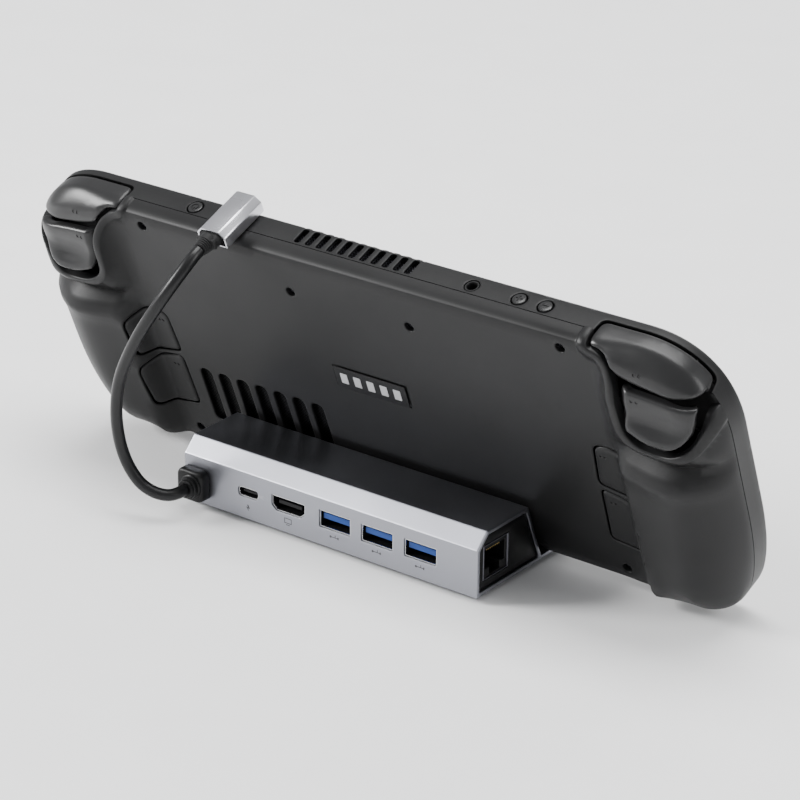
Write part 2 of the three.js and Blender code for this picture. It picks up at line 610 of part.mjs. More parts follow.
function addDock(group) {
  place(group, 'dock_shell', dockShell(), aluminium);
  place(group, 'dock_left_cap', endCap(-1), blackPlastic);
  place(group, 'dock_right_cap', endCap(1), blackPlastic);
  place(group, 'foot_pad', box(-64, 64, 0, 56, 0, DOCK.base - GAP), rubber, DOCK_MIDDLE, -2, 0);
  place(group, 'dock_board', box(-58, 58, 0, 24, 0, 1.2), board, DOCK_MIDDLE, 29, 4.6);
  const rest = [[PANEL + 0.4, 4.6], [PANEL + 1.6, 4.6], [PANEL + 1.6, 24], [PANEL + 0.4, 24]];
  place(group, 'backrest_pad', prism(polygon(...rest.map(([y, z]) => leaned(y, z))), 'x', -62, 62), rubber, DOCK_MIDDLE);
  const wedge = polygon(depthLineAt(1, floorTop + GAP), depthLineAt(PANEL - 2, floorTop + GAP),
    leaned(12.4, BODY_BOTTOM - GAP), leaned(0.8, BODY_BOTTOM - GAP));
  place(group, 'cradle_pad', prism(wedge, 'x', -62, 62), rubber, DOCK_MIDDLE);
  for (const [name, port] of Object.entries(REAR_PORTS)) {
    const tongue = TONGUES[name] ?? TONGUES.data_port;
    place(group, name, socket(port, 11, tongue), steel, port.x, DOCK.rear - 0.5, PORT_Z);
  }
  const network = socket({ width: NETWORK.width, height: NETWORK.height }, 16, { width: 9, low: 3.6, high: 4.8 })
    .rotateZ(Math.PI / 2);
  place(group, 'network_port', network, blackPlastic, DOCK.left + 1.2, NETWORK.y, NETWORK.z);
  const block = prism(roundedRect(12, 12.2, 3, 66, 10), 'y', DOCK.rear + GAP, 62.4);
  const collar = new THREE.CylinderGeometry(3.1, 4.6, 4, 16).translate(65, 64.1, 10.2);
  place(group, 'cable_gland', join(block, collar), blackPlastic);
  place(group, 'dock_cable', cable(CORD_ROUTE, CORD_RADIUS), rubber);
}

const consoleGroup = new THREE.Group();
consoleGroup.rotation.x = -LEAN;
consoleGroup.position.z = CONSOLE_RISE;
addShells(consoleGroup);
addElectronics(consoleGroup);
addControls(consoleGroup);
addPlug(consoleGroup);

const dockGroup = new THREE.Group();
addDock(dockGroup);

// The origin is the centre of the footprint, on the table, measured without the cable's pieces.
const part = new THREE.Group();
part.add(consoleGroup, dockGroup);
part.updateMatrixWorld(true);
const CORD_PIECES = ['dock_cable', 'cable_gland', 'plug_housing', 'plug_tip', 'plug_boot'];
const bounds = new THREE.Box3();
part.traverse((piece) => {
  if (piece.isMesh && !CORD_PIECES.includes(piece.name)) bounds.expandByObject(piece, true);
});
const centre = bounds.getCenter(new THREE.Vector3());
part.position.set(-centre.x, -centre.y, -bounds.min.z);
part.updateMatrixWorld(true);

export default part;
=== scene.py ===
import math

import bpy
import bmesh
import numpy as np
from mathutils import Matrix, Vector, geometry, kdtree


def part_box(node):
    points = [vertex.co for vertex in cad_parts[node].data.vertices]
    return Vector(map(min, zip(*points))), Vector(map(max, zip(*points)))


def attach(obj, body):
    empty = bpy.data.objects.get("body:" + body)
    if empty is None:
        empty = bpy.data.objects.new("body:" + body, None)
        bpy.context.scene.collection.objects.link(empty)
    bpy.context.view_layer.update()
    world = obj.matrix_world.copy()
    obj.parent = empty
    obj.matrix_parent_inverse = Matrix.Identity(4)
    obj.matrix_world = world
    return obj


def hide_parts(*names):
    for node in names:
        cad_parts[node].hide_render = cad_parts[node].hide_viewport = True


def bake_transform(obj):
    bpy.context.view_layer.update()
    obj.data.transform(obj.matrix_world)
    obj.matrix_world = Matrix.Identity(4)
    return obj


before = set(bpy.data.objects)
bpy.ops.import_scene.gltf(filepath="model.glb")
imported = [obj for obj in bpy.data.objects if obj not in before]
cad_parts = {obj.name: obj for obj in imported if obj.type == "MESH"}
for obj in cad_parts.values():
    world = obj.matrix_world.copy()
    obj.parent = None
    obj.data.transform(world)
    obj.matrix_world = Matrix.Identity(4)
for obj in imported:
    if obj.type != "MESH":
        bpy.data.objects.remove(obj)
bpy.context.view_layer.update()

MM = 0.001
LEAN = math.radians(22)
PANEL = 16.5             # depth of the flat back panel
SEAM = 10                # depth of the joint between the two shells
HALF_WIDTH = 149
SIDES = ((1, "right"), (-1, "left"))
HEIGHT = 117
BODY_BOTTOM = 3.5
TOP_Y = 5.9              # depth of the row of controls along the top edge
NAMEPLATE_AT = Vector((0, PANEL + 0.55, 63.6))
DOCK_REAR = 57.7         # the dock's rear face in its own frame


def centre_of(node):
    low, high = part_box(node)
    return (low + high) / 2


def placing(u, w, v, origin):
    columns = [list(axis) + [0] for axis in (u * MM, w * MM, v * MM)] + [list(origin) + [1]]
    return Matrix(columns).transposed()


W_AXIS = Vector((0, math.cos(LEAN), -math.sin(LEAN)))
V_AXIS = Vector((0, math.sin(LEAN), math.cos(LEAN)))
U_AXIS = Vector((1, 0, 0))
ORIGIN = centre_of("nameplate") - MM * (NAMEPLATE_AT.y * W_AXIS + NAMEPLATE_AT.z * V_AXIS)
CONSOLE = placing(U_AXIS, W_AXIS, V_AXIS, ORIGIN)
DOCK_SHIFT = Vector((0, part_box("dock_shell")[1].y - DOCK_REAR * MM, 0))
DOCK = placing(Vector((1, 0, 0)), Vector((0, 1, 0)), Vector((0, 0, 1)), DOCK_SHIFT)


# ---- Camera ---------------------------------------------------------------------------------
def add_camera():
    azimuth, elevation, roll = (math.radians(a) for a in (216.84, 23.61, 0.67))
    distance = 1.15
    target = Vector((0.00192, 0.01991, 0.04724)) + DOCK_SHIFT
    back = Vector((math.sin(azimuth) * math.cos(elevation), -math.cos(azimuth) * math.cos(elevation),
        math.sin(elevation)))
    data = bpy.data.cameras.new("camera")
    data.sensor_width = 36
    data.lens = 143.96
    data.clip_start, data.clip_end = 0.05, 20
    camera = bpy.data.objects.new("camera", data)
    bpy.context.scene.collection.objects.link(camera)
    camera.location = target + back * distance
    right = Vector((math.cos(azimuth), math.sin(azimuth), 0))
    up = right.cross(-back)
    tilted_right = math.cos(roll) * right + math.sin(roll) * up
    tilted_up = math.cos(roll) * up - math.sin(roll) * right
    turn = Matrix((tilted_right, tilted_up, back)).transposed()
    camera.rotation_mode = "QUATERNION"
    camera.rotation_quaternion = turn.to_quaternion()
    bpy.context.scene.camera = camera


add_camera()


# ---- Materials ------------------------------------------------------------------------------
def fill(tree, node, inputs):
    """Links an input to the socket given for it, or sets it to the value given."""
    for name, value in inputs.items():
        if isinstance(value, bpy.types.NodeSocket):
            tree.links.new(value, node.inputs[name])
        else:
            node.inputs[name].default_value = value
    return node


def new_material(name, color, roughness, metallic=0.0, specular=0.5):
    material = bpy.data.materials.new(name)
    material.use_nodes = True
    tree = material.node_tree
    return material, tree, fill(tree, tree.nodes["Principled BSDF"], {
        "Base Color": (*color, 1), "Roughness": roughness, "Metallic": metallic, "Specular IOR Level": specular})


def noise(tree, scale, detail):
    place = tree.nodes.new("ShaderNodeTexCoord").outputs["Object"]
    texture = tree.nodes.new("ShaderNodeTexNoise")
    return fill(tree, texture, {"Scale": scale, "Detail": detail, "Vector": place}).outputs["Fac"]


def remap(tree, value, low, high, start=0.3, stop=0.7):
    node = tree.nodes.new("ShaderNodeMapRange")
    fill(tree, node, {"From Min": start, "From Max": stop, "To Min": low, "To Max": high, "Value": value})
    return node.outputs["Result"]


def mixed(tree, factor, first, second):
    node = tree.nodes.new("ShaderNodeMix")
    node.data_type = "RGBA"
    return fill(tree, node, {"A": first, "B": second, "Factor": factor}).outputs["Result"]


def scaled(color, factor, lift=0.0):
    return (*[min(1, c * factor + lift) for c in color], 1)


BROAD_SCALE = 28         # patches of gloss and shade, about 4 cm across
GLOSS_VARIATION = 0.05
BUMP_DEPTH = 0.2         # share of the grain's size


def textured(name, color, roughness, grain=0.0005, bump=0.3, variation=0.1, metallic=0.0, specular=0.5):
    """A moulded or blasted surface: a fine grain, edges rubbed a little lighter, patches of gloss."""
    material, tree, shader = new_material(name, color, roughness, metallic, specular)
    fine, broad = noise(tree, 1 / grain, 1.5), noise(tree, BROAD_SCALE, 4)
    mottled = mixed(tree, remap(tree, broad, 0, 1), scaled(color, 1 - variation), scaled(color, 1 + variation))
    wear = tree.nodes.new("ShaderNodeNewGeometry").outputs["Pointiness"]
    rubbed = mixed(tree, remap(tree, wear, 0, 0.6, 0.51, 0.62), mottled, scaled(color, 1.8, 0.001))
    bump_node = fill(tree, tree.nodes.new("ShaderNodeBump"), {
        "Strength": bump, "Distance": grain * BUMP_DEPTH, "Height": fine})
    gloss = remap(tree, broad, roughness - GLOSS_VARIATION, roughness + GLOSS_VARIATION)
    fill(tree, shader, {"Base Color": rubbed, "Roughness": gloss, "Normal": bump_node.outputs["Normal"]})
    return material


def glassy(name, color, roughness):
    material, tree, shader = new_material(name, color, roughness, specular=0.2)
    fill(tree, shader, {"Roughness": remap(tree, noise(tree, 40, 3), roughness * 0.8, roughness * 1.3)})
    return material


SHELL = textured("shell_plastic", (0.0085, 0.0085, 0.0088), 0.42, 0.00045, 0.3, specular=0.22)
CONTROL = textured("control_plastic", (0.012, 0.012, 0.0124), 0.3, 0.0006, 0.15, specular=0.34)
BLACK = textured("black_plastic", (0.004, 0.004, 0.0043), 0.4, 0.0004, 0.25, specular=0.22)
RUBBER = textured("rubber", (0.007, 0.007, 0.0074), 0.62, 0.0007, 0.4, specular=0.25)
CORD = textured("cord_jacket", (0.005, 0.005, 0.0054), 0.36, 0.0009, 0.2, specular=0.3)
ALUMINIUM = textured("aluminium", (0.29, 0.295, 0.325), 0.36, 0.0003, 0.18, 0.04, metallic=1.0)
DARK_METAL = textured("dock_top_metal", (0.10, 0.10, 0.115), 0.36, 0.0003, 0.18, 0.05, metallic=1.0)
STEEL = textured("steel", (0.62, 0.62, 0.63), 0.24, 0.0008, 0.06, 0.04, metallic=1.0)
BLUE = textured("blue_insert", (0.005, 0.03, 0.14), 0.35, 0.0004, 0.1, specular=0.3)
GOLD = textured("gold_contact", (0.75, 0.5, 0.18), 0.28, 0.0005, 0.05, 0.05, metallic=1.0)
PRINT = textured("print_light", (0.34, 0.34, 0.35), 0.5, 0.0003, 0.1)
PRINT_DARK = textured("print_dark", (0.03, 0.03, 0.035), 0.5, 0.0003, 0.1)
# Painted shade: a near-black, nearly matte material for sheets, liners and backings that stand in for the
# shadowed insides of the console and the ports.
SHADE_BLACK = textured("shadowed_inside", (0.0025, 0.0025, 0.0027), 0.8, 0.0006, 0.2, specular=0.1)
BOARD = textured("circuit_board", (0.02, 0.09, 0.05), 0.45, 0.0008, 0.2)
COPPER = textured("copper", (0.62, 0.3, 0.16), 0.35, 0.0006, 0.1, metallic=1.0)
PLUG_METAL = textured("plug_metal", (0.52, 0.52, 0.545), 0.3, 0.0003, 0.12, 0.04, metallic=1.0)
SCREEN = glassy("display_cover", (0.004, 0.0045, 0.005), 0.06)
# A slot name for each material whose piece gives none, else the material's own name; create() works this out but
# does not keep it.
SLOTS = {"cord_jacket": "rubber", "plug_metal": "aluminium", "display_cover": "screen_glass",
         "gold_contact": "steel", "print_dark": "black_plastic", "shadowed_inside": "black_plastic",
         "print_light": "nameplate"}


# ---- Outlines -------------------------------------------------------------------------------
def bezier(a, b, c, d, steps):
    points = []
    for i in range(steps):
        t = i / steps
        k = 1 - t
        points.append(tuple(k ** 3 * p + 3 * k * k * t * q + 3 * k * t * t * r + t ** 3 * s for p, q, r,
            s in zip(a, b, c, d)))
    return points


def resample(loop, step):
    points = []
    for a, b in zip(loop, loop[1:] + loop[:1]):
        count = max(1, math.ceil(math.dist(a, b) / step))
        points += [(a[0] + (b[0] - a[0]) * i / count, a[1] + (b[1] - a[1]) * i / count) for i in range(count)]
    return points


def rounded(corners, radius, steps=6):
    """A closed polygon with each corner replaced by a curve that starts radius before it."""
    points = []
    count = len(corners)
    radii = radius if isinstance(radius, (list, tuple)) else [radius] * count
    for i, corner in enumerate(corners):
        here = Vector(corner)
        ends = []
        for other in (corners[i - 1], corners[(i + 1) % count]):
            along = Vector(other) - here
            ends.append(here + along * min(0.49, radii[i] / along.length))
        for s in range(steps + 1):
            t = s / steps
            points.append(tuple((1 - t) ** 2 * ends[0] + 2 * t * (1 - t) * here + t * t * ends[1]))
    return points


def rectangle(width, height, radius, at=(0, 0), steps=6):
    a, b = width / 2, height / 2
    x, y = at
    return rounded([(x - a, y - b), (x + a, y - b), (x + a, y + b), (x - a, y + b)], radius, steps)


def circle(radius, at=(0, 0), steps=32):
    angles = [2 * math.pi * i / steps for i in range(steps)]
    return [(at[0] + radius * math.cos(a), at[1] + radius * math.sin(a)) for a in angles]


def flipped(loop):
    """The same outline on the player's left."""
    return [(-x, y) for x, y in reversed(loop)]


def grown(loop, distance):
    """The outline moved outward, or inward where distance is negative."""
    points = np.array(loop)
    if abs(distance) < 1e-9:
        return [tuple(p) for p in points]
    along = np.roll(points, -1, 0) - np.roll(points, 1, 0)
    along /= np.maximum(np.linalg.norm(along, axis=1, keepdims=True), 1e-9)
    return [tuple(p) for p in points + distance * np.stack([along[:, 1], -along[:, 0]], 1)]


def half_outline():
    points = [(0, BODY_BOTTOM)]
    points += bezier((92, BODY_BOTTOM), (106, BODY_BOTTOM), (112, 0), (127, 0), 24)
    points += bezier((127, 0), (143, 0), (HALF_WIDTH, 22), (HALF_WIDTH, 50), 34)
    points += [(HALF_WIDTH, 50), (HALF_WIDTH, 84)]
    points += bezier((HALF_WIDTH, 84), (HALF_WIDTH, 104), (138, HEIGHT), (118, HEIGHT), 34)[1:]
    points += [(118, HEIGHT), (0, HEIGHT)]
    return points


def full_outline():
    right = half_outline()
    return resample(right + [(-x, y) for x, y in reversed(right[1:-1])], 3)


OUTLINE = full_outline()


def signed_distance(points, loop):
    """Distance from each point to a closed outline, negative inside."""
    a = np.array(loop)
    ab = np.roll(a, -1, 0) - a
    length = np.maximum((ab * ab).sum(1), 1e-12)
    result = np.empty(len(points))
    for first in range(0, len(points), 2000):
        p = points[first:first + 2000, None, :]
        ap = p - a
        t = np.clip((ap * ab).sum(2) / length, 0, 1)
        near = np.sqrt(((ap - t[..., None] * ab) ** 2).sum(2)).min(1)
        rises = (a[:, 1] > p[..., 1]) != (np.roll(a, -1, 0)[:, 1] > p[..., 1])
        slope = np.where(np.abs(ab[:, 1]) < 1e-12, 1e-12, ab[:, 1])
        crossing = a[:, 0] + (p[..., 1] - a[:, 1]) * ab[:, 0] / slope
        inside = (rises & (p[..., 0] < crossing)).sum(1) % 2 == 1
        result[first:first + 2000] = np.where(inside, -near, near)
    return result


# ---- Surfaces cut from outlines -------------------------------------------------------------
# A feature is an outline with a profile: pairs of distance outside the outline and depth below
# the surface, from the outermost inward. A hole takes away what lies inside the last distance.
EDGE = [(1.1, 0), (0.6, 0), (0.3, 0.05), (0.08, 0.18), (0, 0.45)]
SHARP_EDGE = [(0.75, 0), (0.25, 0), (0.05, 0.06), (0, 0.2)]
ENGRAVED = [(0.4, 0), (0.12, 0), (0, 0.25)]


def feature(loop, profile, hole=False, step=1.2):
    return {"loop": resample(loop, step), "profile": profile, "hole": hole}


def depths(points, features):
    total = np.zeros(len(points))
    for f in features:
        loop = np.array(f["loop"])
        reach = max(abs(f["profile"][0][0]), 0) + 0.5
        near = ((points > loop.min(0) - reach) & (points < loop.max(0) + reach)).all(1)
        if near.any():
            inward = -signed_distance(points[near], f["loop"])
            total[near] += np.interp(inward, [-d for d, _ in f["profile"]], [z for _, z in f["profile"]])
    return total


def patch(domain, features, spacing, lift, rings=(), keep=None, lines=()):
    """Triangulates a flat domain with every feature's edges in it, and lifts it into space."""
    points, edges = [], []

    def add(loop):
        first = len(points)
        points.extend(loop)
        edges.extend((first + i, first + (i + 1) % len(loop)) for i in range(len(loop)))

    add(domain)
    for ring in rings:
        add(ring)
    for line in lines:
        points.extend(line)
    for f in features:
        for distance, _ in f["profile"]:
            add(grown(f["loop"], distance))
    tree = kdtree.KDTree(len(points))
    for i, p in enumerate(points):
        tree.insert((*p, 0), i)
    tree.balance()
    low, high = np.array(domain).min(0), np.array(domain).max(0)
    grid = np.array([(x, y) for x in np.arange(low[0], high[0], spacing)
        for y in np.arange(low[1], high[1], spacing)])
    grid = grid[signed_distance(grid, domain) < -0.5 * spacing]
    points += [tuple(p) for p in grid if tree.find((*p, 0))[2] > 0.6 * spacing]
    made = geometry.delaunay_2d_cdt([Vector(p) for p in points], edges, [], 0, 1e-5)
    flat = np.array([tuple(p) for p in made[0]])
    faces = np.array(made[2])
    middle = flat[faces].mean(1)
    chosen = signed_distance(middle, domain) < 0
    if keep is not None:
        chosen &= signed_distance(middle, keep) < 0
    for f in features:
        if f["hole"]:
            chosen &= signed_distance(middle, f["loop"]) > f["profile"][-1][0]
    faces = faces[chosen]
    turned = np.cross(flat[faces[:, 1]] - flat[faces[:, 0]], flat[faces[:, 2]] - flat[faces[:, 0]]) < 0
    faces[turned] = faces[turned][:, ::-1]
    return lift(flat, depths(flat, features)), faces


def smoothstep(x, low, high):
    t = np.clip((x - low) / (high - low), 0, 1)
    return t * t * (3 - 2 * t)


def edge_rounding(across, v):
    """Width of the round between the back and the side: narrow along the panel, wide on the grips."""
    return 2.5 + smoothstep(across, 101, 127) * (15 - 8 * smoothstep(v, 84, 104))


def back_depth(points, edge):
    """The CAD's back surface: a flat panel, two grips and a trigger housing above each."""
    across, v = np.abs(points[:, 0]), points[:, 1]
    outer = smoothstep(across, 101, 127)
    flank = 0.8 * smoothstep(across, 104, 112) + 0.2 * smoothstep(across, 110, 130)
    grip = 9.5 * flank * (1 - smoothstep(v, 68, 76)) * (0.78 + 0.22 * smoothstep(v, 0, 40))
    housing = 6 * smoothstep(across, 103, 112) * smoothstep(v, 73, 83) * (1 - smoothstep(v, 98, 116))
    groove = 2.5 * outer * smoothstep(v, 60, 74) * (1 - smoothstep(v, 76, 90))
    inward = np.minimum(edge / edge_rounding(across, v), 1)
    circle_part = np.sqrt(1 - (1 - inward) ** 2)
    creased = outer * 0.35 * (1 - smoothstep(v, 74, 82))
    rise = (1 - creased) * circle_part + creased * inward ** 0.6
    return SEAM + (PANEL + grip + housing + groove - SEAM) * rise


def back_surface(points, extra=None):
    """Places on the back surface and its outward normals, in the console's frame."""
    def depth(p):
        return back_depth(p, np.maximum(-signed_distance(p, OUTLINE), 0)) + (extra(p) if extra else 0)
    inward = np.array((0.0, 60.0)) - points
    inward[:, 0] = np.clip(points[:, 0], -90, 90) - points[:, 0]
    inward /= np.maximum(np.linalg.norm(inward, axis=1, keepdims=True), 1e-9)
    base = points + 0.02 * inward
    step = 0.01
    du = (depth(base + (step, 0)) - depth(base - (step, 0))) / (2 * step)
    dv = (depth(base + (0, step)) - depth(base - (0, step))) / (2 * step)
    normal = np.stack([-du, np.ones(len(points)), -dv], 1)
    normal /= np.linalg.norm(normal, axis=1, keepdims=True)
    return np.stack([points[:, 0], depth(points), points[:, 1]], 1), normal


def lift_back(extra=None):
    def lift(points, drop):
        place, normal = back_surface(points, extra)
        return place - normal * drop[:, None]
    return lift


def follow(loop):
    """The distances along a closed outline, and what finds a place and its outward way from a distance."""
    steps = [math.dist(a, b) for a, b in zip(loop, loop[1:] + loop[:1])]
    along = np.concatenate([[0], np.cumsum(steps)])
    closed = np.array(loop + loop[:1])
    tangent = np.roll(closed[:-1], -1, 0) - np.roll(closed[:-1], 1, 0)
    tangent = np.vstack([tangent, tangent[:1]])
    tangent /= np.linalg.norm(tangent, axis=1, keepdims=True)

    def find(s):
        place, way = (np.stack([np.interp(s, along, values[:, k]) for k in (0, 1)], 1)
                      for values in (closed, tangent))
        return place, np.stack([way[:, 1], -way[:, 0]], 1)

    return along, find


def rolled(from_edge, radius):
    """How far in a surface lies that rounds over a quarter circle at its edge."""
    roll = 1 - np.clip(from_edge / radius, 0, 1)
    return radius * (1 - np.sqrt(np.maximum(1 - roll * roll, 0)))


# The side wall runs round the outline. Its flat domain is (distance along the outline, w).
ALONG, find_on_outline = follow(OUTLINE)
FRONT_ROUND = 2.0


def top_s(u):
    """Distance along the outline of a point on the straight top edge."""
    first = next(i for i, p in enumerate(OUTLINE) if p[1] > HEIGHT - 1e-6)
    return ALONG[first] + OUTLINE[first][0] - u


def side_s(v, side=1):
    """Distance along the outline of a height on its upper side curve."""
    stretch = [i for i, p in enumerate(OUTLINE) if p[1] > 60 and p[0] * side > 100]
    stretch.sort(key=lambda i: OUTLINE[i][1])
    return float(np.interp(v, [OUTLINE[i][1] for i in stretch], [ALONG[i] for i in stretch]))


def lift_wall(points, drop):
    s, w = points[:, 0], points[:, 1]
    place, outward = find_on_outline(s)
    place = place - outward * (rolled(w, FRONT_ROUND) + drop)[:, None]
    return np.stack([place[:, 0], w, place[:, 1]], 1)


def wall(features, low, high, keep=None, rings=()):
    """The side wall between two depths, with a line of points along each depth in rings."""
    domain = [(s, low) for s in ALONG] + [(s, high) for s in reversed(ALONG)]
    lines = [[(s, w) for s in ALONG[1:-1]] for w in rings]
    points, faces = patch(domain, features, 2.2, lift_wall, keep=keep, lines=lines)
    return points, turned_over(faces)


# ---- Pieces ---------------------------------------------------------------------------------
def create(name, place, parts, material, body, node=None, slot=None, thickness=0, sharp=38, merge=0.02,
           closed=True):
    """One object from (points, faces) parts in a local frame of millimetres.

    A closed piece gets its normals from its own shape, and one with a thickness from its faces' order.
    """
    mesh = bpy.data.meshes.new(name)
    points, faces = [], []
    for part_points, part_faces in parts:
        first = len(points)
        points.extend(place @ Vector(p) for p in part_points)
        faces.extend([first + i for i in face] for face in part_faces)
    mesh.from_pydata(points, [], faces)
    work = bmesh.new()
    work.from_mesh(mesh)
    bmesh.ops.remove_doubles(work, verts=work.verts, dist=merge * MM)
    bmesh.ops.delete(work, geom=[v for v in work.verts if not v.link_faces], context="VERTS")
    if closed and not thickness:
        bmesh.ops.recalc_face_normals(work, faces=work.faces)
    for face in work.faces:
        face.smooth = True
    for edge in work.edges:
        if len(edge.link_faces) != 2 or edge.calc_face_angle(0) > math.radians(sharp):
            edge.smooth = False
    work.to_mesh(mesh)
    work.free()
    thing = bpy.data.objects.new(name, mesh)
    bpy.context.scene.collection.objects.link(thing)
    mesh.materials.append(material)
    if thickness:
        solidify = thing.modifiers.new("thickness", "SOLIDIFY")
        solidify.thickness = thickness * MM
        solidify.offset = -1
    if body:
        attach(thing, body)
    if node:
        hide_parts(node)
    look = material.name.split(".")[0]
    slot or SLOTS.get(look, look)
    return thing


def on_console(name, parts, material, node=None, body="console", **more):
    return create(name, CONSOLE, parts, material, body, node, **more)


def on_dock(name, parts, material, node=None, body="dock", **more):
    return create(name, DOCK, parts, material, body, node, **more)


def both(features):
    """Each feature again on the player's left."""
    return features + [{**f, "loop": flipped(f["loop"])} for f in features]


def turned_over(faces):
    return [face[::-1] for face in faces]


# ---- The console's shells -------------------------------------------------------------------
RING_STEPS = [0.004, 0.018, 0.045, 0.09, 0.16, 0.25, 0.37, 0.52, 0.72]


def back_rings():
    """Rings of points inside the outline, closer together towards it, that follow the round."""
    points = np.array(OUTLINE)
    rounding = edge_rounding(np.abs(points[:, 0]), points[:, 1])
    along = np.roll(points, -1, 0) - np.roll(points, 1, 0)
    along /= np.linalg.norm(along, axis=1, keepdims=True)
    inward = np.stack([-along[:, 1], along[:, 0]], 1)
    return [[tuple(p) for p in points + inward * (rounding * t)[:, None]] for t in RING_STEPS]


SHOULDER_HOLE = rounded([(101.4, 130), (101.4, 114.9), (106, 113.6), (110.4, 110.2), (113.4, 105), (114.1, 94),
    (114.6, 86.4), (121, 82.6), (131, 81.6), (139.4, 85.2), (145.4, 94), (147.2, 103.4), (165, 103.4),
    (165, 130)], [0.1, 2.4, 2, 2, 3, 3, 4, 3, 4, 4, 3, 0.3, 0.1, 0.1])
RIM = [(3.6, 0), (3.2, -0.45), (2.7, -0.7), (1.2, -0.7), (0.5, -0.55), (0.12, -0.3), (0, 0.2), (-0.02, 3.2)]
PADDLES = {
    "upper": rounded([(93, 49.4), (110.2, 46.4), (112, 64), (103.4, 69.4), (94.4, 68.6)], [3, 3, 4, 4, 4]),
    "lower": rounded([(92.6, 23), (110.6, 20.6), (112.4, 41), (103.4, 46), (93.4, 47.6)], [3, 4, 4, 4, 3]),
}
SCREWS = [(91, 111), (26, 99.5), (97, 10), (30, 10)]
SCREW_HOLE = [(0.8, 0), (0.25, 0), (0.05, 0.1), (0, 0.4), (-0.05, 2.2)]
INTAKE = [rectangle(5.4, 26, 2.7, (31 + 8.8 * i, 31), 8) for i in range(7)]
PLATE_RECESS = [(0.9, 0), (0.15, 0), (0, 0.35)]


def add_rear_cover():
    features = both([feature(SHOULDER_HOLE, RIM, True), *(feature(loop, EDGE, True)
        for loop in PADDLES.values()), *(feature(circle(1.9, at, 20), SCREW_HOLE) for at in SCREWS)])
    features += [feature(loop, EDGE, True) for loop in INTAKE]
    features.append(feature(rectangle(33, 10.4, 0.6, (0, NAMEPLATE_AT.z), 3), PLATE_RECESS))
    points, faces = patch(OUTLINE, features, 3, lift_back(), back_rings())
    on_console("rear_cover_shell", [(points, turned_over(faces))], SHELL, "rear_cover", thickness=1.5, sharp=62)


# The bumper's opening in the side wall, as (distance along the outline, w).
def shoulder_notch(gap=0.0):
    tip, end = top_s(101.4 + gap), side_s(103.4 + gap)
    return rounded([(tip, SEAM + 6), (end, SEAM + 6), (end, SEAM), (end + 1.5, 4 + gap), (tip, 4 + gap)],
        [0.1, 0.1, 1.2, 2.6, 3.2])


def wall_side(loop):
    """The same outline on the wall's other half, which runs the other way."""
    total = ALONG[-1]
    return [(total - s, w) for s, w in reversed(loop)]


VENT = {"count": 11, "pitch": 4.8, "width": 2.7, "from": 1.7, "to": 8.8}
POWER_X, JACK_X, VOLUME_UP_X, VOLUME_DOWN_X = 72, -49.7, -69.1, -79.7
PORT_X = 51.5
STICK = {"x": 99, "z": 93, "hole": 12.8}
CLUSTER = {"x": 129.5, "z": 95, "pitch": 9.4, "radius": 5}
TRACKPAD = {"x": 113, "z": 58, "size": 32}
SMALL_BUTTON = {"x": 88, "z": 110.4, "width": 7, "height": 3.4}
LARGE_BUTTON = {"x": 94, "z": 35.5, "width": 9.4, "height": 4.4}
GLASS = {"width": 163, "height": 104, "z": 61}


def vent_places():
    return [(i - (VENT["count"] - 1) / 2) * VENT["pitch"] for i in range(VENT["count"])]


def top_features():
    middle, length = (VENT["from"] + VENT["to"]) / 2, VENT["to"] - VENT["from"]
    made = [feature(rectangle(VENT["width"], length, 1.1, (top_s(x), middle)), SHARP_EDGE, True, 0.8)
            for x in vent_places()]
    ring = [(0.8, 0), (0.3, 0), (0.06, 0.06), (0, 0.3), (-0.02, 1.2)]
    for x, radius in ((POWER_X, 3.3), (VOLUME_UP_X, 3.1), (VOLUME_DOWN_X, 3.1), (JACK_X, 2.9)):
        made.append(feature(circle(radius, (top_s(x), TOP_Y), 36), ring, True, 0.8))
    made.append(feature(rectangle(9.8, 4, 1.9, (top_s(PORT_X), TOP_Y)), ring, True, 0.8))
    return made


def face_features():
    pad = TRACKPAD["size"] + 0.8
    paired = [feature(circle(STICK["hole"], (STICK["x"], STICK["z"]), 64), EDGE, True),
        feature(rectangle(pad, pad, 3, (TRACKPAD["x"], TRACKPAD["z"])), EDGE, True),
        *(feature(rectangle(b["width"] + 0.8, b["height"] + 0.8, b["height"] / 2 + 0.3, (b["x"], b["z"])),
        SHARP_EDGE, True, 0.6) for b in (SMALL_BUTTON, LARGE_BUTTON)),
        *(feature(rectangle(1.8, 9, 0.85, (98 + 4.2 * i, 21)), SHARP_EDGE, True, 0.8) for i in range(4)), ]
    window = rectangle(GLASS["width"] + 0.5, GLASS["height"] + 0.5, 4, (0, GLASS["z"]))
    single = [feature(window, SHARP_EDGE, True)]
    x, z, pitch, radius = CLUSTER.values()
    for dx, dz in ((1, 0), (-1, 0), (0, 1), (0, -1)):
        hole = circle(radius + 0.4, (x + dx * pitch, z + dz * pitch), 40)
        single.append(feature(hole, SHARP_EDGE, True, 0.8))
    single.append(feature(cross_outline(13, 4.7, -x, z), SHARP_EDGE, True, 0.8))
    return both(paired) + single


def cross_outline(reach, half, x, z, radius=1.2):
    corners = [(half, reach), (-half, reach), (-half, half), (-reach, half), (-reach, -half), (-half, -half),
               (-half, -reach), (half, -reach), (half, -half), (reach, -half), (reach, half), (half, half)]
    return rounded([(x + a, z + b) for a, b in corners], radius, 4)


def add_front_shell():
    notch = feature(shoulder_notch(), SHARP_EDGE, True)
    features = [notch, {**notch, "loop": wall_side(notch["loop"])}, *top_features()]
    side, side_faces = wall(features, 0, SEAM - 0.35, rings=(0.05, 0.2, 0.5, 0.9, 1.4, 2.0))
    inset = grown_outline(-FRONT_ROUND)
    def lift_face(points, drop):
        return np.stack([points[:, 0], drop, points[:, 1]], 1)
    face, face_faces = patch(inset, face_features(), 4, lift_face)
    on_console("front_shell_body", [(side, side_faces), (face, face_faces)], SHELL, "front_shell",
        thickness=1.5)


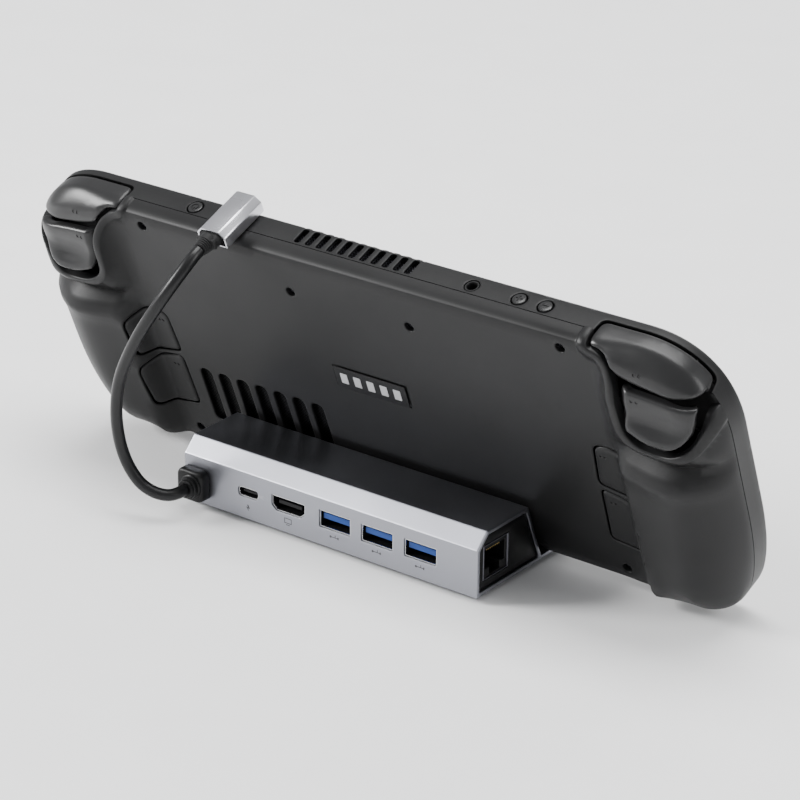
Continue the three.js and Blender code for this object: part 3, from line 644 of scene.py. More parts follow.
def grown_outline(distance):
    """The outline moved along the wall's own normals, so that it meets the wall's front edge."""
    count = len(ALONG) - 1
    place = lift_wall(np.stack([ALONG[:-1], np.full(count, FRONT_ROUND)], 1), np.full(count, -distance))
    return [(x, z) for x, _, z in place]


# ---- Shoulder controls ----------------------------------------------------------------------
BUMPER = rounded([(102, 130), (102, 115.7), (106.3, 114.2), (110.9, 110.8), (113.4, 107.6), (120, 106.1),
    (133, 104.9), (165, 104.6), (165, 130)], [0.1, 2.2, 2, 2, 2, 3, 3, 0.1, 0.1])
BUMPER_EDGE = [(0, 2.4), (-0.05, 1.0), (-0.3, 0.45), (-0.8, 0.12), (-1.6, 0)]


def dots(x, z, pitch=1.9, radius=0.5):
    """Two engraved dots, in place of a letter and a number."""
    return [feature(circle(radius, (x + pitch * i, z), 12), ENGRAVED, step=0.5) for i in range(2)]


def handed(points, faces, side):
    """The part as it is on the player's right, or its mirror image."""
    if side > 0:
        return points, faces
    return points * np.array([-1, 1, 1]), turned_over(faces)


def bumper_extra(points):
    """A full face that rolls in towards the trigger, beside a lower arm that reaches inward."""
    u, v = points[:, 0], points[:, 1]
    arm = 1 - smoothstep(u - 0.35 * (112 - v), 107.5, 111.5)
    roll = 1 - smoothstep(v - 0.06 * (126 - u), 105.3, 110.5)
    inside = smoothstep(-signed_distance(points, OUTLINE), 0, 5)
    return inside * (-1.5 * arm - 1.7 * roll * (1 - arm) + 0.8 * (1 - arm))


def add_bumpers():
    rear, rear_faces = patch(OUTLINE, [feature(BUMPER, BUMPER_EDGE), *dots(121, 110.4)], 1.6,
        lift_back(bumper_extra), back_rings(), BUMPER)
    notch = shoulder_notch(0.7)
    side, side_faces = wall([feature(notch, BUMPER_EDGE)], 0, SEAM, notch, (5, 6.5, 8))
    for way, name in SIDES:
        parts = [handed(rear, turned_over(rear_faces), way), handed(side, side_faces, way)]
        on_console(f"{name}_bumper_cap", parts, CONTROL, f"{name}_bumper", f"{name}_bumper", thickness=1.1,
            merge=0.05)


TRIGGER = rounded([(114.9, 104.9), (115.1, 94), (115.6, 88.2), (122, 85.4), (131, 84.4), (137.4, 87.2),
    (142.4, 94.5), (143.6, 101.9)], [0.8, 3, 3, 3, 3, 4, 3, 1])
TRIGGER_EDGE = [(0, 3.2), (-0.08, 1.7), (-0.3, 0.8), (-0.8, 0.25), (-1.4, 0)]


def trigger_extra(points):
    """The finger scoop: hollow across the middle, with a lip that flares out and rolls under."""
    u, v = points[:, 0], points[:, 1]
    bottom = 84.6 + 0.018 * (u - 130) ** 2
    t = (104.6 - v) / (104.6 - bottom)
    across = (u - 115) / 31
    scoop = -1.5 * np.sin(np.pi * np.clip(t / 0.85, 0, 1)) * np.sin(np.pi * np.clip(across, 0, 1)) ** 0.7
    lip = 2.6 * smoothstep(t, 0.55, 0.84) * (1 - 0.9 * smoothstep(t, 0.86, 1.02))
    inner_bevel = -1.6 * (1 - smoothstep(u, 115.4, 117.8))
    return scoop + lip * np.sin(np.pi * np.clip(0.15 + 0.8 * across, 0, 1)) + inner_bevel


def add_triggers():
    domain = resample([(112, 82), (148, 82), (148, 107), (112, 107)], 4)
    points, faces = patch(domain, [feature(TRIGGER, TRIGGER_EDGE), *dots(120, 101.2)], 0.9,
        lift_back(trigger_extra), (), TRIGGER)
    for side, name in SIDES:
        on_console(f"{name}_trigger_lever", [handed(points, turned_over(faces), side)], CONTROL,
            f"{name}_trigger", f"{name}_trigger", thickness=1.2)


PADDLE_EDGE = [(0, 1.7), (-0.06, 0.6), (-0.35, 0.2), (-0.9, 0)]


def add_paddles():
    for level, outline in PADDLES.items():
        loop = grown(outline, -0.55)
        low, high = np.array(loop).min(0) - 2, np.array(loop).max(0) + 2
        domain = resample([(low[0], low[1]), (high[0], low[1]), (high[0], high[1]), (low[0], high[1])], 4)
        marks = dots(97.2, max(p[1] for p in loop) - 4.6, 1.7, 0.45)
        points, faces = patch(domain, [feature(loop, PADDLE_EDGE), *marks], 1.3, lift_back(), (), loop)
        for side, name in SIDES:
            on_console(f"{name}_{level}_paddle_cap", [handed(points, turned_over(faces), side)], SHELL,
                f"{name}_{level}_paddle", f"{name}_{level}_paddle", thickness=1.2)


# ---- Solids made of rings -------------------------------------------------------------------
def skin(rings, count, caps=(True, True)):
    """Faces between each ring of count points and the next, and a cap on each end."""
    faces = [[a + i, a + (i + 1) % count, a + count + (i + 1) % count, a + count + i]
             for a in range(0, (rings - 1) * count, count) for i in range(count)]
    if caps[0]:
        faces.append(list(range(count))[::-1])
    if caps[1]:
        faces.append([(rings - 1) * count + i for i in range(count)])
    return faces


def stack(loop, levels, lift, caps=(True, True)):
    """Rings of one outline, each (distance grown, height), skinned together and capped."""
    points = [lift(a, b, height) for distance, height in levels for a, b in grown(loop, distance)]
    return points, skin(len(levels), len(loop), caps)


def turned(profile, lift, steps=48, ribs=0, rib_depth=0.0, caps=(True, True)):
    """A round piece from (radius, height) pairs; ribs roughen every ring but the first and last."""
    points = []
    for level, (radius, height) in enumerate(profile):
        for i in range(steps):
            angle = 2 * math.pi * i / steps
            r = radius
            if ribs and 0 < level < len(profile) - 1:
                r -= rib_depth * (0.5 + 0.5 * math.cos(ribs * angle))
            points.append(lift(r * math.cos(angle), r * math.sin(angle), height))
    return points, skin(len(profile), steps, caps)


def facing_back(a, b, height):
    return a, height, b


def facing_up(a, b, height):
    return a, b, height


def facing_side(a, b, height):
    return height, a, b


def round_at(x, z):
    """Lifts a turned piece onto the front-to-back axis through (x, z)."""
    return lambda a, b, height: (x + a, height, z + b)


def across_at(x, way=1):
    """Lifts a flat patch onto the plane across the dock at x."""
    return lambda p, drop: np.stack([x + way * drop, p[:, 0], p[:, 1]], 1)


def slab(width, height, radius, at, low, high, lift, soft=0.3):
    """A plate with rounded corners and softened edges between two heights."""
    loop = rectangle(width, height, min(radius, width / 2 - 0.01, height / 2 - 0.01), at)
    return stack(loop, [(-soft, low), (-0.3 * soft, low + 0.1 * soft), (0, low + soft), (0, high - soft),
        (-0.3 * soft, high - 0.1 * soft), (-soft, high)], lift)


def lattice(low, high, pitch, width, lift):
    """A woven screen: two sets of slanting strips across a rectangle."""
    points, faces = [], []
    size = np.array(high) - low
    for slant, level in ((1, 0.0), (-1, 0.12)):
        start = -size[1]
        while start < size[0]:
            a = max(0, start)
            b = min(size[0], start + size[1])
            if b - a > width:
                ends = [(a, a - start), (b, b - start)]
                if slant < 0:
                    ends = [(x, size[1] - y) for x, y in ends]
                first = len(points)
                for x, y in ends:
                    points += [lift(low[0] + x - width / 2, low[1] + y, level),
                               lift(low[0] + x + width / 2, low[1] + y, level)]
                faces.append([first, first + 1, first + 3, first + 2])
            start += pitch
    return points, faces


# ---- The cord and its ends ------------------------------------------------------------------
CORD_RADIUS = 2.25
CORD_EXIT = (65, 10.2)   # where the cord leaves the dock's rear face
PLUG_Z = 120.7           # height of the plug's and the cord's middle on the console
CORD_ROUTE = [(65, 66.4, 10.2), (65.1, 69.4, 10.1), (66.6, 73, 10.1), (70.2, 76, 11.2), (75, 78, 14),
    (79.3, 79.3, 19.5), (82, 80.5, 27), (82.6, 82, 36.5), (81, 83.8, 47), (77.4, 85.4, 58), (72, 86.6, 68.5),
    (65.8, 87, 79), (59.6, 86, 88.8), (54.8, 83, 97.4), (52.3, 78.6, 103.4), (51.6, 74.8, 106.6),
    (51.5, 71.55, 108.27)]


def smooth_route(points, per_span):
    """A centripetal Catmull-Rom curve through every point."""
    knots = [Vector(p) for p in points]
    knots = [2 * knots[0] - knots[1]] + knots + [2 * knots[-1] - knots[-2]]
    made = []
    for a, b, c, d in zip(knots, knots[1:], knots[2:], knots[3:]):
        t1 = (b - a).length ** 0.5
        t2 = t1 + (c - b).length ** 0.5
        t3 = t2 + (d - c).length ** 0.5
        for i in range(per_span):
            t = t1 + (t2 - t1) * i / per_span
            p = a.lerp(b, t / t1)
            q = b.lerp(c, (t - t1) / (t2 - t1))
            r = c.lerp(d, (t - t2) / (t3 - t2))
            made.append(p.lerp(q, t / t2).lerp(q.lerp(r, (t - t1) / (t3 - t1)), (t - t1) / (t2 - t1)))
    return made + [knots[-2]]


def tube(route, radius, sides):
    points = []
    across = Vector((1, 0, 0))
    for i, here in enumerate(route):
        along = (route[min(i + 1, len(route) - 1)] - route[max(i - 1, 0)]).normalized()
        across = (across - along * across.dot(along)).normalized()
        other = along.cross(across)
        for k in range(sides):
            angle = 2 * math.pi * k / sides
            points.append(here + radius * (math.cos(angle) * across + math.sin(angle) * other))
    return points, skin(len(route), sides)


def add_plug():
    half, low, shoulder, top, chamfer = 6.3, 117.4, 121.8, 124, 2.3
    section = resample(rounded([(PORT_X - half, low), (PORT_X + half, low), (PORT_X + half, shoulder),
        (PORT_X + half - chamfer, top), (PORT_X - half + chamfer, top), (PORT_X - half, shoulder)],
        [0.5, 0.5, 0.5, 0.4, 0.4, 0.5], 4), 4)
    levels = [(-0.7, -1), (-0.2, -0.86), (0, -0.4), (0, 20.75), (-0.08, 20.95), (-0.25, 21), (-0.62, 21),
              (-0.8, 20.8), (-0.8, 10)]
    housing = on_console("plug_housing_shell", [stack(section, levels, facing_back)], PLUG_METAL,
        "plug_housing")
    core = rectangle(8.6, 4.4, 1.5, (PORT_X, PLUG_Z))
    boot = [stack(core, [(-0.5, 11), (0, 11.5), (0, 22.2), (-0.35, 22.9), (-0.35, 23.4), (0, 23.7),
        (-0.2, 24.4), (-0.9, 24.6)], facing_back)]
    ribs = [(2.2, 22), (3.3, 22.4), (3.3, 24.7)]
    for i in range(4):
        w, r = 24.9 + 0.75 * i, 3.15 - 0.15 * i
        ribs += [(r - 0.3, w), (r, w + 0.2), (r, w + 0.5), (r - 0.3, w + 0.65)]
    ribs += [(2.45, 28)]
    boot.append(turned(ribs, round_at(PORT_X, PLUG_Z)))
    boot_piece = on_console("plug_boot_moulding", boot, RUBBER, "plug_boot")
    tip_loop = rectangle(8.2, 2.4, 1.15, (PORT_X, TOP_Y))
    tip = on_console("plug_tip_sleeve",
        [stack(tip_loop, [(-0.3, 109.6), (0, 109.9), (0, 117), (-0.6, 117.05)], facing_up)], STEEL, "plug_tip")
    return [housing, boot_piece, tip]


def add_gland():
    block = rectangle(12, 12.2, 3, (66, 10))
    levels = [(-0.1, 58), (0, 58.2), (0, 61.2), (-0.25, 61.9), (-0.8, 62.3), (-1.4, 62.4)]
    parts = [stack(block, levels, facing_back)]
    rings = [(4.6, 61.8), (4.6, 62.9), (4.3, 63.2), (3.7, 63.3), (3.7, 63.8), (4.1, 64), (4.0, 64.6), (3.5, 64.8),
             (3.5, 65.2), (3.4, 65.8), (3.1, 66.1), (2.5, 66.1)]
    parts.append(turned(rings, round_at(*CORD_EXIT)))
    return on_dock("cable_gland_moulding", parts, BLACK, "cable_gland")


def add_cord():
    pieces = add_plug() + [add_gland()]
    route = smooth_route(CORD_ROUTE, 6)
    path = [DOCK @ p for p in route]
    cord = on_dock("dock_cable_jacket", [tube(route, CORD_RADIUS, 20)], CORD, "dock_cable", None)
    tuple(path[0])
    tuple(path[-1])
    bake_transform(cord)
    length = sum((b - a).length for a, b in zip(path, path[1:]))
    tuple(path[0])


# ---- The console's small pieces -------------------------------------------------------------
def plus_outline(reach, half, at):
    return cross_outline(reach, half, at[0], at[1], 0.15)


def arc_outline(radius, half, start, stop, at, steps=24):
    """A bent bar, for the ring of the standby symbol."""
    angles = [math.radians(start + (stop - start) * i / steps) for i in range(steps + 1)]
    outer = [(at[0] + (radius + half) * math.cos(a), at[1] + (radius + half) * math.sin(a)) for a in angles]
    inner = [(at[0] + (radius - half) * math.cos(a), at[1] + (radius - half) * math.sin(a))
             for a in reversed(angles)]
    return outer + inner


def top_button(name, node, x, radius, marks):
    at = (x, TOP_Y)
    loop = circle(radius - 0.2, at, 40)
    domain = rectangle(2 * radius + 2, 2 * radius + 2, 0.1, at)
    features = [feature(loop, [(0, 2.2), (-0.05, 0.35), (-0.2, 0.1), (-0.5, 0)], step=0.8)]
    features += [feature(mark, [(0.08, 0), (0, 0.22)], step=0.5) for mark in marks]
    rise = 0.25

    def lift(p, drop):
        return np.stack([p[:, 0], p[:, 1], HEIGHT + rise - drop], 1)
    points, faces = patch(domain, features, 0.8, lift, (), loop)
    on_console(name, [(points, faces)], CONTROL, node, node, closed=False)


def add_shade_sheet(name, corners):
    """A dark sheet behind a grille: painted shade that stands in for the shadowed inside of the console."""
    on_console(name, [(corners, [[0, 1, 2, 3]])], SHADE_BLACK, thickness=0.2)


def add_top_controls():
    ring = arc_outline(1.25, 0.16, 130, 410, (POWER_X, TOP_Y))
    bar = rectangle(0.34, 1.4, 0.1, (POWER_X, TOP_Y + 1.1))
    top_button("power_button_disc", "power_button", POWER_X, 3, [ring, bar])
    top_button("volume_up_disc", "volume_up_button", VOLUME_UP_X, 2.8,
               [plus_outline(1.35, 0.2, (VOLUME_UP_X, TOP_Y))])
    top_button("volume_down_disc", "volume_down_button", VOLUME_DOWN_X, 2.8,
               [rectangle(2.7, 0.4, 0.15, (VOLUME_DOWN_X, TOP_Y))])
    levels = [(0, 108.5), (0, 116.6), (-0.15, 116.8), (-0.6, 116.8), (-0.85, 116.4), (-0.85, 109)]
    sleeve = stack(circle(2.65, (JACK_X, TOP_Y), 40), levels, facing_up)
    on_console("headphone_sleeve", [sleeve], BLACK, "headphone_jack")
    screen = lattice((-27.5, 1.2), (27.5, 9.2), 1.25, 0.28, lambda a, b, h: (a, b, HEIGHT - 2.2 - h))
    on_console("vent_screen", [screen], DARK_METAL, slot="aluminium", thickness=0.1)
    # Painted shade: near-black sheets behind the top vent and the intake grille.
    add_shade_sheet("vent_lining", [(a, b, HEIGHT - 4) for a, b in ((-29, 1.4), (29, 1.4), (29, 9.8), (-29, 9.8))])
    intake = lattice((27.5, 17), (87, 45), 1.25, 0.42, lambda a, b, h: (a, PANEL - 1.9 - h, b))
    on_console("intake_screen", [intake], BLACK, slot="aluminium", thickness=0.1)
    add_shade_sheet("intake_lining", [(a, PANEL - 2.6, b) for a, b in ((21, 11), (92, 11), (92, 52), (21, 52))])


def add_nameplate():
    at = (NAMEPLATE_AT.x, NAMEPLATE_AT.z)
    on_console("nameplate_blank", [slab(32, 9.8, 0.5, at, 16.75, 17.05, facing_back, 0.12)], BLACK, "nameplate",
        slot="nameplate")
    bars = [slab(3.1, 4.6, 0.35, (at[0] + 5.9 * (i - 2), at[1]), 17.02, 17.2, facing_back, 0.05)
            for i in range(5)]
    on_console("nameplate_bars", bars, PRINT)


def add_screws():
    slot_loops = [rectangle(1.7, 0.4, 0.1), rectangle(0.4, 1.7, 0.1)]
    for i, (x, z) in enumerate(SCREWS):
        for side, name in SIDES:
            depth = float(back_surface(np.array([(x, z)], float))[0][0, 1]) - 1.5
            loop = circle(1.6, (0, 0), 24)
            features = [feature(loop, [(0, 0.9), (-0.15, 0.15), (-0.5, 0)], step=0.8),
                        *(feature(mark, [(0.06, 0), (0, 0.35)], step=0.4) for mark in slot_loops)]
            def lift(p, drop):
                return np.stack([side * x + p[:, 0], depth - drop, z + p[:, 1]], 1)
            points, faces = patch(rectangle(4.2, 4.2, 0.1), features, 0.6, lift, (), loop)
            on_console(f"cover_screw_{name}_{i + 1}", [(points, turned_over(faces))], DARK_METAL, slot="steel",
                closed=False)


def add_front_controls():
    glass = slab(GLASS["width"], GLASS["height"], 4, (0, GLASS["z"]), 0.25, 1.4, facing_back, 0.3)
    on_console("display_cover", [glass], SCREEN, "display_glass")
    for side, name in SIDES:
        x, z = side * STICK["x"], STICK["z"]
        profile = [(4, 7.5), (3.4, 2), (3.2, -3.6), (6.2, -4.4), (8.2, -4.9), (8.6, -5.5), (8.7, -7.2),
                   (8.4, -8.4), (7.6, -8.95), (6.9, -9), (6.2, -8.5), (3, -8.05), (0.3, -7.95)]
        lift = round_at(x, z)
        body = turned(profile[:4], lift)
        cap = turned([(6.2, -4.4)] + profile[4:], lift, 144, ribs=36, rib_depth=0.22)
        angles = [math.radians(24 + 8 * i) for i in range(9)]
        ball = turned([(9.3 * math.cos(a), 7.8 - 9.3 * math.sin(a)) for a in angles], lift)
        bowl = turned([(15.4, 1.9), (13.6, 2.2), (12.9, 3.4), (9.9, 4.4), (9.7, 6.2)], lift, caps=(False, False))
        on_console(f"{name}_stick_bowl", [bowl], BLACK, thickness=0.2)
        cluster_at = (side * CLUSTER["x"], CLUSTER["z"])
        membrane = stack(circle(14.8, cluster_at, 48), [(0, 5.3), (0, 5.6)], facing_back)
        on_console(f"{name}_button_membrane", [membrane], RUBBER)
        on_console(f"{name}_stick_dome", [ball], BLACK, body=f"{name}_thumbstick")
        on_console(f"{name}_stick_cap", [body, cap], RUBBER, f"{name}_thumbstick", f"{name}_thumbstick")
        x, z, size = side * TRACKPAD["x"], TRACKPAD["z"], TRACKPAD["size"]
        loop = rectangle(size, size, 2.8, (x, z))
        levels = [(-0.5, 2.8), (0, 2.3), (0, 0.55), (-0.15, 0.28), (-0.5, 0.2), (-1.6, 0.25), (-1.9, 0.45)]
        pad = stack(loop, levels, facing_back)
        on_console(f"{name}_trackpad_plate", [pad], CONTROL, f"{name}_trackpad", sharp=6)
        # Painted shade: dark sheets behind the trackpad, the buttons and the grip slots, so that the gaps round
        # them read as shadowed.
        shade_backings = [slab(36, 36, 3, (x, z), 3.1, 3.3, facing_back, 0.05),
            slab(12, 8, 1, (side * SMALL_BUTTON["x"], SMALL_BUTTON["z"] - 0.6), 4.3, 4.5, facing_back, 0.05),
            slab(14, 9, 1, (side * LARGE_BUTTON["x"], LARGE_BUTTON["z"]), 4.3, 4.5, facing_back, 0.05),
            slab(17, 12, 1, (side * 104.3, 21), 1.75, 1.95, facing_back, 0.05)]
        on_console(f"{name}_control_backings", shade_backings, SHADE_BLACK)
    for node, side, size in (("menu_button", 1, SMALL_BUTTON), ("view_button", -1, SMALL_BUTTON),
                             ("quick_button", 1, LARGE_BUTTON), ("system_button", -1, LARGE_BUTTON)):
        cap = slab(size["width"] - 0.1, size["height"] - 0.1, size["height"] / 2, (side * size["x"], size["z"]),
                   -0.5, 3.4, facing_back, 0.45)
        on_console(f"{node}_cap", [cap], CONTROL, node, node)
    x, z, pitch, radius = CLUSTER.values()
    for node, dx, dz in (("outer_face_button", 1, 0), ("inner_face_button", -1, 0), ("upper_face_button", 0, 1),
                         ("lower_face_button", 0, -1)):
        profile = [(radius - 0.2, 3.6), (radius - 0.1, 0), (radius - 0.15, -0.8), (radius - 0.6, -1.25),
                   (3.4, -1.45), (1.8, -1.57), (0.2, -1.6)]
        cap = turned(profile, round_at(x + dx * pitch, z + dz * pitch))
        on_console(f"{node}_cap", [cap], CONTROL, node, node)
    cross = cross_outline(12.6, 4.3, -x, z)
    rocker = stack(cross, [(-0.3, 2), (0, 1.7), (0, -0.9), (-0.25, -1.4), (-0.9, -1.6)], facing_back)
    on_console("dpad_cross", [rocker], CONTROL, "dpad", "dpad", sharp=6)


# ---- The dock -------------------------------------------------------------------------------
DOCK_LEFT, DOCK_RIGHT, DOCK_WALL = -60.5, 72, 1.6
PORT_Z = 12.4


FOOT_Z = 7               # height of the console's bottom edge, where its lean turns about


def leaned(depth, height):
    """A place in the dock's section from its depth behind the console's front and its height up it."""
    return (height * math.sin(LEAN) + depth * math.cos(LEAN),
            FOOT_Z + height * math.cos(LEAN) - depth * math.sin(LEAN))


def on_depth_line(depth, z):
    """The place at height z on the line that runs up at one depth behind the console's front."""
    return leaned(depth, (z - FOOT_Z + depth * math.sin(LEAN)) / math.cos(LEAN))


def creased(corners, radius, guard=0.3, steps=4):
    """Tight rounds with a point just before and after each, so that the flats between shade as flats."""
    points = []
    for i, corner in enumerate(corners):
        here = Vector(corner)
        beside = (corners[i - 1], corners[(i + 1) % len(corners)])
        before, after = ((Vector(other) - here).normalized() for other in beside)
        points.append(tuple(here + before * (radius + guard)))
        for s in range(steps + 1):
            t = s / steps
            points.append(tuple((1 - t) ** 2 * (here + before * radius) + 2 * t * (1 - t) * here
                                + t * t * (here + after * radius)))
        points.append(tuple(here + after * (radius + guard)))
    return points


def dock_profile():
    corners = [on_depth_line(-3.4, 2), (DOCK_REAR, 2), (DOCK_REAR, 20.2), (52, 25.9), on_depth_line(18.4, 25.9),
               on_depth_line(18.4, 3.6), on_depth_line(-1.4, 3.6), leaned(-1.4, 14), leaned(-3.4, 14)]
    return resample(creased(corners, 0.35), 3)


def chamber(inset):
    w = DOCK_WALL + inset
    corners = [on_depth_line(18.4 + w, 2 + w), (DOCK_REAR - w, 2 + w), (DOCK_REAR - w, 20.2 - 0.4 * w),
               (52 - 0.4 * w, 25.9 - w), on_depth_line(18.4 + w, 25.9 - w)]
    return rounded(corners, [0.8, 0.8, 0.6, 0.6, 0.8], 4)


def video_outline(width, height, at):
    a, b = width / 2, height / 2
    corners = [(-a + 2.2, -b), (a - 2.2, -b), (a, -b + 2.0), (a, b), (-a, b), (-a, -b + 2.0)]
    return rounded([(at[0] + x, at[1] + z) for x, z in corners], 0.5, 4)


PORTS = [("power_port", "pill", rectangle(9.6, 4, 1.99, (41.9, PORT_Z))),
    ("video_port", "trapezoid", video_outline(15.4, 6, (23.3, PORT_Z))),
    *((f"data_port_{i + 1}", "box", rectangle(14.2, 6.8, 0.6, (x, PORT_Z))) for i,
    x in enumerate((2.1, -16.8, -35.9)))]


def around(profile, low, high, soft):
    """A flat domain (distance along a closed profile, x), how it lifts into space, and its inner points."""
    along, find = follow(profile)

    def lift(points, drop):
        s, x = points[:, 0], points[:, 1]
        place, outward = find(s)
        place = place - outward * (rolled(np.minimum(x - low, high - x), soft) + drop)[:, None]
        return np.stack([x, place[:, 0], place[:, 1]], 1)

    domain = [(s, low) for s in along] + [(s, high) for s in reversed(along)]
    steps = [low + soft * t for t in (0.06, 0.25, 0.6, 1, 1.8)]
    steps += [low + high - x for x in steps] + list(np.linspace(low + 3, high - 3, 44))
    return domain, lift, [[(s, x) for x in steps] for s in along[1:-1]], along


def add_dock():
    parts = []
    for profile, face_y, hole, ends in (
            (dock_profile(), DOCK_REAR, [(0.6, 0), (0.2, 0), (0.04, 0.06), (0, 0.2), (-0.02, 1.5)], 0),
            (resample(chamber(0), 3), DOCK_REAR - DOCK_WALL, [(0.3, 0), (0.05, 0)], 0.2)):
        soft = 0.001 if ends else 0.45
        domain, lift, lines, along = around(profile, DOCK_LEFT + ends, DOCK_RIGHT - ends, soft)
        first = next(i for i, p in enumerate(profile) if abs(p[0] - face_y) < 1e-3)
        rear_s = along[first] - profile[first][1]
        features = [feature([(rear_s + z, x) for x, z in reversed(outline)], hole, True)
                    for _, _, outline in PORTS]
        parts.append(patch(domain, features, 40, lift, lines=lines))
    inner = resample(chamber(0), 3)
    for x, way in ((DOCK_LEFT, 1), (DOCK_RIGHT, -1)):
        parts.append(patch(grown(dock_profile(), -0.45), [feature(inner, [(0.2, 0), (0, 0.2)], True)], 3,
            across_at(x, way)))
    on_dock("dock_body_shell", parts, ALUMINIUM, "dock_shell", merge=0.03)


def network_opening(at):
    """A network socket's opening: a rectangle with a narrower notch below for the plug's latch."""
    y, z = at
    half, top, ledge, notch, bottom = 5.9, 4.4, -2.6, 3.1, -5.4
    corners = [(half, top), (-half, top), (-half, ledge), (-notch, ledge), (-notch, bottom), (notch, bottom),
               (notch, ledge), (half, ledge)]
    return rounded([(y + p, z + q) for p, q in corners], 0.3, 3)


def add_dock_ends():
    loop = resample(chamber(0.2), 3)
    port_at = (45.4, 13.4)
    for node, x, way, features in (("dock_left_cap", DOCK_LEFT + 0.8, 1, [feature(
            rectangle(15.4, 13.8, 0.6, port_at), [(0.4, 0), (0.1, 0.1), (0, 0.3)], True)]),
                                   ("dock_right_cap", DOCK_RIGHT - 0.8, -1, [])):
        features = features + [feature(loop, [(0, 0.5), (-0.1, 0.15), (-0.5, 0)])]
        points, faces = patch(loop, features, 3, across_at(x, way))
        if way > 0:
            faces = turned_over(faces)
        on_dock(f"{node}_panel", [(points, faces)], BLACK, node, thickness=2.4)
    y, z = port_at
    can = stack(rectangle(15, 13.4, 0.4, port_at), [(0, -43.4), (0, -59.5), (-0.12, -59.65), (-0.45, -59.65),
        (-0.55, -59.5), (-0.55, -44)], facing_side)
    on_dock("network_can", [can], DARK_METAL, "network_port", slot="steel")
    opening = network_opening(port_at)
    block = [patch(rectangle(13.8, 12.2, 0.3, port_at), [feature(opening, [(0.3, 0), (0, 0.3), (-0.02, 9)],
        True)], 2, across_at(-59.2)), stack(rectangle(13.6, 12, 0.3, port_at), [(0, -50), (0, -49.5)],
        facing_side)]
    on_dock("network_insert", block, BLACK, closed=False, sharp=30)
    pins = [slab(0.45, 1.0, 0.1, (y + 1.02 * (i - 3.5), z + 3.9), -58.3, -51, facing_side, 0.1) for i in range(8)]
    on_dock("network_contacts", pins, GOLD)


def add_ports():
    for node, kind, outline in PORTS:
        can = stack(outline, [(-0.2, 47), (-0.2, 57.05), (-0.26, 57.2), (-0.42, 57.2), (-0.5, 57), (-0.5, 48.5)],
                    facing_back)
        on_dock(f"{node}_can", [can], STEEL, node)
        # Painted shade: a near-black liner inside each port, standing in for the port's shadowed inside.
        shade_liner = stack(outline, [(-0.53, 56.7), (-0.62, 56.5), (-0.62, 48.6)], facing_back, (False, True))
        on_dock(f"{node}_liner", [shade_liner], SHADE_BLACK, closed=False, sharp=20)
        x = (min(p[0] for p in outline) + max(p[0] for p in outline)) / 2
        if kind == "box":
            tongue, colour = slab(11.8, 2.2, 0.2, (x, PORT_Z + 0.9), 48.8, 56.3, facing_back, 0.15), BLUE
        elif kind == "pill":
            tongue, colour = slab(6.4, 0.8, 0.2, (x, PORT_Z), 48.8, 56.2, facing_back, 0.1), BLACK
        else:
            tongue, colour = slab(10.6, 1.4, 0.2, (x, PORT_Z + 0.3), 48.8, 56.2, facing_back, 0.12), BLACK
        on_dock(f"{node}_tongue", [tongue], colour, slot="black_plastic")


PRINT_DEPTHS = (DOCK_REAR - 0.02, DOCK_REAR + 0.03)


def icon_bar(width, height, x, z):
    return slab(width, height, min(width, height) / 2, (x, z), *PRINT_DEPTHS, facing_back, 0.01)


def add_icons():
    """Plain marks below the ports: a bolt, a screen and a plug in place of any lettering."""
    z = 6.6
    bolt = [(-0.2, 1.2), (-0.9, -0.2), (-0.1, -0.2), (-0.4, -1.3), (0.9, 0.3), (0.1, 0.3), (0.5, 1.2)]
    marks = [stack([(41.9 + a, z + b) for a, b in bolt], [(0, depth) for depth in PRINT_DEPTHS], facing_back),
             icon_bar(3.4, 0.3, 23.3, z + 1.1), icon_bar(3.4, 0.3, 23.3, z - 0.7),
             icon_bar(0.3, 2.1, 21.75, z + 0.2), icon_bar(0.3, 2.1, 24.85, z + 0.2),
             icon_bar(1.8, 0.3, 23.3, z - 1.4)]
    for x in (2.1, -16.8, -35.9):
        marks += [icon_bar(3.2, 0.3, x, z), icon_bar(0.9, 0.9, x + 1.7, z), icon_bar(0.3, 1.0, x - 0.4, z + 0.5),
                  icon_bar(0.7, 0.4, x - 1.7, z + 0.25), icon_bar(0.7, 0.4, x - 1.7, z - 0.25)]
    on_dock("port_icons", marks, PRINT_DARK)


def add_pads():
    at = ((-58.25 + 69.75) / 2, 26)
    foot = stack(rectangle(128, 56, 3, at), [(-0.5, 0), (0, 0.4), (0, 1.4), (-0.3, 1.7)], facing_up)
    on_dock("foot_pad_sheet", [foot], RUBBER, "foot_pad")
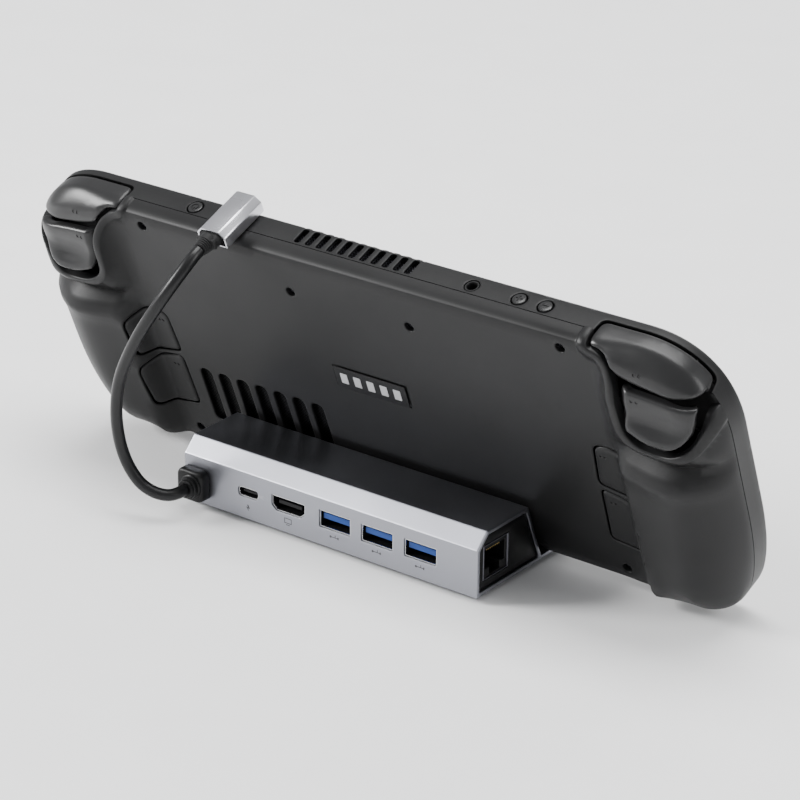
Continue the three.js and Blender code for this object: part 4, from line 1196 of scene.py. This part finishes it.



# The battery gets the painted-shade black, standing in for shade inside the console.
CAD_FINISHES = {BOARD: ["main_board", "dock_board"], STEEL: ["dpad_pivot", "left_stick_yoke",
    "right_stick_yoke", "charging_socket"], COPPER: ["heat_sink"], BLACK: ["fan_housing", "fan_rotor",
    "midframe", "left_stick_module", "right_stick_module", "display_panel"],
    RUBBER: ["backrest_pad", "cradle_pad"], SHADE_BLACK: ["battery"], }


def finish_cad_nodes():
    for material, names in CAD_FINISHES.items():
        for name in names:
            thing = bpy.data.objects[name]
            for used in thing.material_slots:
                used.link = "OBJECT"
                used.material = material


add_cord()
add_rear_cover()
add_front_shell()
add_bumpers()
add_triggers()
add_paddles()
add_top_controls()
add_nameplate()
add_screws()
add_front_controls()
add_dock()
add_dock_ends()
add_ports()
add_icons()
add_pads()
finish_cad_nodes()


# ---- Stage ----------------------------------------------------------------------------------
def add_light(name, at, towards, size, power, color=(1, 1, 1)):
    data = bpy.data.lights.new(name, "AREA")
    data.shape = "RECTANGLE"
    data.size, data.size_y = size
    data.energy = power
    data.color = color
    lamp = bpy.data.objects.new(name, data)
    lamp.location = at
    lamp.rotation_euler = (Vector(towards) - Vector(at)).to_track_quat("-Z", "Y").to_euler()
    bpy.context.scene.collection.objects.link(lamp)


def add_stage():
    mesh = bpy.data.meshes.new("floor")
    reach = 6
    corners = [(-reach, -reach, 0), (reach, -reach, 0), (reach, reach, 0), (-reach, reach, 0)]
    mesh.from_pydata(corners, [], [(0, 1, 2, 3)])
    floor = bpy.data.objects.new("floor", mesh)
    floor.location.z = -0.0002
    bpy.context.scene.collection.objects.link(floor)
    mesh.materials.append(textured("floor_paint", (0.9, 0.9, 0.9), 0.7, 0.003, 0.05, 0.01, specular=0.2))
    world = bpy.data.worlds.new("studio")
    world.use_nodes = True
    world.node_tree.nodes["Background"].inputs["Color"].default_value = (0.94, 0.95, 0.97, 1)
    world.node_tree.nodes["Background"].inputs["Strength"].default_value = 0.62
    bpy.context.scene.world = world
    add_light("key", (1.9, 1.25, 1.15), (0, 0, 0.06), (0.8, 0.8), 90)
    add_light("top", (0.0, -0.1, 1.6), (0, 0, 0.05), (1.4, 0.6), 30)
    add_light("rim", (-1.6, -0.2, 0.8), (-0.1, 0, 0.06), (0.3, 1.2), 12)
    add_light("front", (0.2, -1.6, 1.0), (0, 0, 0.05), (1.2, 0.8), 14)


add_stage()
